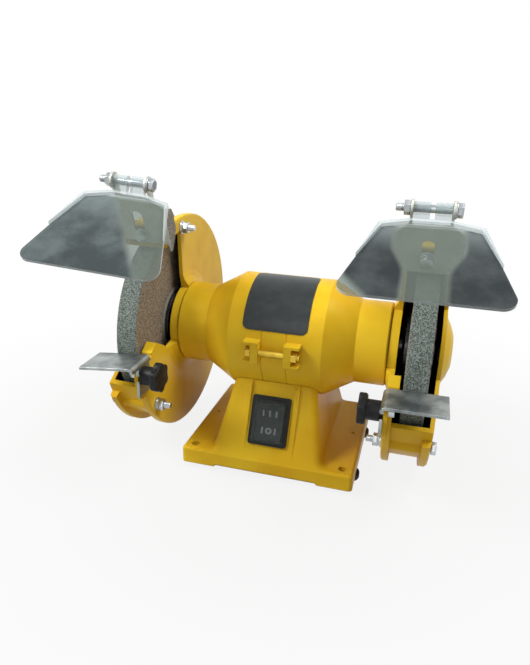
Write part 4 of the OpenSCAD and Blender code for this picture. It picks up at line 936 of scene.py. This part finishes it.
def finish_piece(name, bm, material, body, slot, *replaced):
    """Cleans a mesh, gives it smooth shading with sharp corners, and hands it over."""
    bmesh.ops.remove_doubles(bm, verts=bm.verts, dist=SAME_POINT)
    bmesh.ops.recalc_face_normals(bm, faces=bm.faces)
    mesh = bpy.data.meshes.new(name)
    bm.to_mesh(mesh)
    bm.free()
    mesh.materials.append(material)
    mesh.shade_smooth()
    mesh.set_sharp_from_angle(angle=SHARP_ANGLE)
    piece = bpy.data.objects.new(name, mesh)
    bpy.context.scene.collection.objects.link(piece)
    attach(piece, body)
    if replaced:
        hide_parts(*replaced)
    print(name, "faces:", len(mesh.polygons))


# %% [markdown]
# Three long bolts hold each cover on its guard. Their heads sit on the cover, and a
# nut with a plain and a spring washer closes each one on the motor's side.

# %% Guard bolts
GUARD_PLATE_X, COVER_X = 87.0, 120.8
GUARD_BOLT_R = 81.0
GUARD_BOLT_ANGLES = (6.5, 126.5, 246.5)
PLAIN_WASHER = [(0, 0), (5.1, 0), (5.22, 0.15), (5.22, 0.85), (5.1, 1), (0, 1)]
SPRING_WASHER = stub(1.02, 4.2, 2.25, 4.2)
NUT_LOW, NUT_HIGH = 2.3, 6.3
BOLT_TIP, THREAD_LENGTH = 11.3, 12.0


def round_the_spindle(side, x, radius, degrees):
    angle = math.radians(degrees)
    return (side * x, -radius * math.sin(angle), SHAFT_HEIGHT + radius * math.cos(angle))


bolts, nuts = bmesh.new(), bmesh.new()
under_head = GUARD_PLATE_X - COVER_X
head_top = under_head - 3.5
for side in (-1, 1):
    for degrees in GUARD_BOLT_ANGLES:
        inside = aimed(round_the_spindle(side, GUARD_PLATE_X, GUARD_BOLT_R, degrees),
                       (-side, 0, 0))
        turned(nuts, PLAIN_WASHER, inside)
        turned(nuts, SPRING_WASHER, inside)
        hexagon(nuts, HEX5, NUT_LOW, NUT_HIGH, inside)
        tip = [(r, BOLT_TIP - z) for r, z in thread_profile(M5, 0, THREAD_LENGTH)]
        turned(bolts, tip + [(M5, under_head), (0, under_head)], inside)
        hexagon(bolts, HEX5, head_top, under_head, inside)
        turned(bolts, stub(head_top + 0.05, 3.6, head_top - 0.1, 3.4), inside)
finish_piece("guard_bolt_set", bolts, fastener_zinc, "frame", "zinc", "guard_bolts")
finish_piece("guard_nut_set", nuts, fastener_zinc, "frame", "zinc", "guard_nuts")

# %% [markdown]
# The star knobs clamp the tool rests. A disc is pushed in and out round its rim to make
# six soft lobes, drawn to its thickness, and its corners are rounded. The hub behind it
# is turned, with a shallow ring where it meets the washer.

# %% Lobed disc of a knob
LOBES = 6
DISC_R, DISC_THICKNESS, DISC_ROUNDING = 10.3, 5.4, 1.1
LOBE_MIDDLE, LOBE_SWING, LOBE_SOFTNESS = 1.02, 0.085, 0.8


def lobed_disc(bm, seat, height):
    """A disc with soft lobes round its rim, standing at a height over its seat."""
    before = set(bm.verts)
    bmesh.ops.create_circle(bm, cap_ends=True, segments=96, radius=DISC_R * MM)
    for vert in made_since(bm, before):
        lobe = math.cos(LOBES * math.atan2(vert.co.y, vert.co.x))
        swing = math.copysign(abs(lobe) ** LOBE_SOFTNESS, lobe)
        vert.co *= LOBE_MIDDLE + LOBE_SWING * swing
    disc = [f for f in bm.faces if all(v not in before for v in f.verts)]
    drawn = bmesh.ops.extrude_face_region(bm, geom=disc)["geom"]
    bmesh.ops.translate(bm, vec=(0, 0, DISC_THICKNESS * MM),
                        verts=[v for v in drawn if isinstance(v, bmesh.types.BMVert)])
    round_rims(bm, before, DISC_ROUNDING, segments=4)
    put_in_place(bm, before, seat @ Matrix.Translation((0, 0, height * MM)))


# %% Star knobs
KNOB_SIDES = 48
HUB_R, HUB_FOOT_R, COLLAR_R = 6.9, 6.6, 7.4
CAP_R, CAP_TOP_R = 5.4, 5.0
ROOM_FOR_DISC = 5.6


def star_knob(side_name, side):
    low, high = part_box("knob_" + side_name)
    seat_x = max(abs(low.x), abs(high.x)) / MM
    top_x = min(abs(low.x), abs(high.x)) / MM
    place = (side * seat_x, (low.y + high.y) / 2 / MM, (low.z + high.z) / 2 / MM)
    seat = aimed(place, (-side, 0, 0))
    top = seat_x - top_x
    hub_top = top - ROOM_FOR_DISC
    bm = bmesh.new()
    turned(bm, [(0, 0), (HUB_FOOT_R, 0), (HUB_R, 0.3), (HUB_R, hub_top - 0.8),
                (COLLAR_R, hub_top + 0.4), (0, hub_top + 0.4)], seat, KNOB_SIDES)
    lobed_disc(bm, seat, hub_top + 0.1)
    turned(bm, [(0, top - 0.4), (CAP_R, top - 0.4), (CAP_R, top - 0.1),
                (CAP_TOP_R, top), (0, top)], seat, KNOB_SIDES)
    finish_piece("star_knob_" + side_name, bm, black_plastic,
                 "rest_knob_" + side_name, "black_plastic", "knob_" + side_name)


star_knob("left", -1)
star_knob("right", 1)

# %% [markdown]
# One bolt with a broad washer clamps each bracket's slot to the top of the guard. The
# washer is a ring, so its outline closes on itself away from the axis.

# %% Bracket bolts
QUARTER_TURN = math.radians(90)
BROAD_WASHER = [(2.6, 1.8), (5.8, 1.8), (6.0, 2.0), (6.0, 2.6), (5.8, 2.8), (2.6, 2.8),
                (2.6, 1.8)]
CLAMP_HEAD_LOW, CLAMP_HEAD_HIGH = 2.8, 6.2
CLAMP_TIP, CLAMP_THREAD_TOP = -10, 2.9

clamps, washers = bmesh.new(), bmesh.new()
for name in SETTINGS:
    seat = bolt_frame(name) @ Matrix.Rotation(QUARTER_TURN, 4, "X")
    turned(washers, BROAD_WASHER, seat)
    hexagon(clamps, HEX5, CLAMP_HEAD_LOW, CLAMP_HEAD_HIGH, seat)
    turned(clamps, stub(CLAMP_HEAD_HIGH - 0.1, 3.7, CLAMP_HEAD_HIGH + 0.08, 3.4), seat)
    tip = thread_profile(M5, CLAMP_TIP, CLAMP_THREAD_TOP)
    turned(clamps, tip + [(0, CLAMP_THREAD_TOP)], seat)
finish_piece("bracket_clamp_bolts", clamps, fastener_zinc, "frame", "zinc",
             "bracket_bolts")
finish_piece("bracket_clamp_washers", washers, fastener_zinc, "frame", "zinc",
             "bracket_washers")

# %% [markdown]
# Each visor turns on a long screw through the ears of its bracket. Its head and a
# washer stand on one side, and a nut with the end of the thread on the other.

# %% Hinge screws
EAR_OUT_X = 13.3
WASHER_R, WASHER_HIGH = 5.2, 0.9
HEAD_LOW, HEAD_TOP = EAR_OUT_X + 1, EAR_OUT_X + 4.5
NUT_OUTER, NUT_INNER = -EAR_OUT_X - 4, -EAR_OUT_X - 0.02
SCREW_TIP, SCREW_THREAD_TOP = -EAR_OUT_X - 9, -EAR_OUT_X + 1


def hinge_screw(name, along):
    screw = bmesh.new()
    tip = thread_profile(M5, SCREW_TIP, SCREW_THREAD_TOP)
    turned(screw, tip + [(M5, EAR_OUT_X), (0, EAR_OUT_X)], along)
    turned(screw, stub(EAR_OUT_X, WASHER_R, EAR_OUT_X + WASHER_HIGH, WASHER_R), along)
    hexagon(screw, HEX5, HEAD_LOW, HEAD_TOP, along)
    turned(screw, stub(HEAD_TOP - 0.1, 3.7, HEAD_TOP, 3.3), along)
    finish_piece("hinge_screw_" + name, screw, fastener_zinc, "visor_arm_" + name, "zinc",
                 "hinge_bolt_" + name)


def lock_nut(name, along):
    nut = bmesh.new()
    hexagon(nut, HEX5, NUT_OUTER, NUT_INNER, along)
    turned(nut, stub(NUT_OUTER, 3.6, NUT_OUTER + 0.3, 4.0), along)
    finish_piece("hinge_lock_nut_" + name, nut, fastener_zinc, "visor_arm_" + name,
                 "zinc", "hinge_nut_" + name)


for name in SETTINGS:
    along = hinge_frame(name) @ Matrix.Rotation(QUARTER_TURN, 4, "Y")
    hinge_screw(name, along)
    lock_nut(name, along)

# %% [markdown]
# The stage: a pale floor, a white world for the camera, and soft lamps. What the camera
# sees as background is set apart from the light that falls on the object, so that a
# white backdrop doesn't flood the paint. Light Path tells which kind of ray asks.

# %% Floor
FLOOR_SIZE = 3.0
FLOOR_GREY = (0.4, 0.4, 0.4, 1)
WHITE = (1, 1, 1, 1)
WHITE_NEAR, WHITE_MORE_FAR_OFF = 0.86, 0.14
FAR_OFF_STARTS, FAR_OFF_FULL = 0.12, 0.45


def seen_directly(tree):
    rays = add_node(tree, "LightPath").outputs
    seen = either(tree, rays["Is Camera Ray"], rays["Is Glossy Ray"])
    return either(tree, seen, rays["Is Transmission Ray"])


def stage_floor():
    """A grey floor under a white glow; the glow is thinner near by, for the shadow."""
    bm = bmesh.new()
    bmesh.ops.create_grid(bm, x_segments=1, y_segments=1, size=FLOOR_SIZE)
    mesh = bpy.data.meshes.new("floor")
    bm.to_mesh(mesh)
    bm.free()
    floor = bpy.data.objects.new("floor", mesh)
    bpy.context.scene.collection.objects.link(floor)
    material, tree, shader = new_material("pale floor", roughness=0.9)
    shader.inputs["Base Color"].default_value = FLOOR_GREY
    white = add_node(tree, "Emission", Color=WHITE, Strength=1.0)
    away = add_node(tree, "VectorMath", {"operation": "LENGTH"},
                    _0=object_place(tree)).outputs["Value"]
    far_off = times(tree, steps(tree, away, FAR_OFF_STARTS, FAR_OFF_FULL),
                    WHITE_MORE_FAR_OFF)
    share = times(tree, seen_directly(tree), plus(tree, far_off, WHITE_NEAR))
    mix = add_node(tree, "MixShader", _0=share, _1=shader.outputs[0], _2=white.outputs[0])
    tree.links.new(mix.outputs[0], tree.nodes["Material Output"].inputs["Surface"])
    mesh.materials.append(material)
    return floor


floor = stage_floor()
print("floor:", floor.name)

# %% [markdown]
# The world is white to look at, and gives the object only a weak, slightly warm light.

# %% World
AMBIENT_COLOUR, AMBIENT_STRENGTH = (1, 0.95, 0.88, 1), 0.16

world = bpy.data.worlds.new("world")
world.use_nodes = True
tree = world.node_tree
ambient = tree.nodes["Background"]
ambient.inputs["Color"].default_value = AMBIENT_COLOUR
ambient.inputs["Strength"].default_value = AMBIENT_STRENGTH
backdrop = add_node(tree, "Background", Color=WHITE, Strength=1.0)
mix = add_node(tree, "MixShader", _0=seen_directly(tree), _1=ambient.outputs[0],
               _2=backdrop.outputs[0])
tree.links.new(mix.outputs[0], tree.nodes["World Output"].inputs["Surface"])
bpy.context.scene.world = world
bpy.context.scene.view_settings.view_transform = "Standard"
print("ambient light:", AMBIENT_STRENGTH)

# %% [markdown]
# Three round area lamps light the object. The key lamp is high on the left, a weak one
# in front opens the shadows, and one almost overhead on the right draws the rims.

# %% Lamps
AIM = (0, 0, 0.1)

# Name: place in metres, width in metres and watts.
LAMPS = {"key": ((-0.8, -0.5, 0.95), 0.5, 14.5),
         "front": ((0.0, -1.0, 0.7), 0.6, 1.2),
         "top": ((0.55, -0.05, 1.1), 0.7, 9.0)}


def soft_lamp(name, place, width, watts):
    light = bpy.data.lights.new(name, "AREA")
    light.shape = "DISK"
    light.size = width
    light.energy = watts
    lamp = bpy.data.objects.new(name, light)
    bpy.context.scene.collection.objects.link(lamp)
    turn = (Vector(AIM) - Vector(place)).to_track_quat("-Z", "Y")
    lamp.matrix_world = Matrix.Translation(place) @ turn.to_matrix().to_4x4()


for name, settings in LAMPS.items():
    soft_lamp(name, *settings)
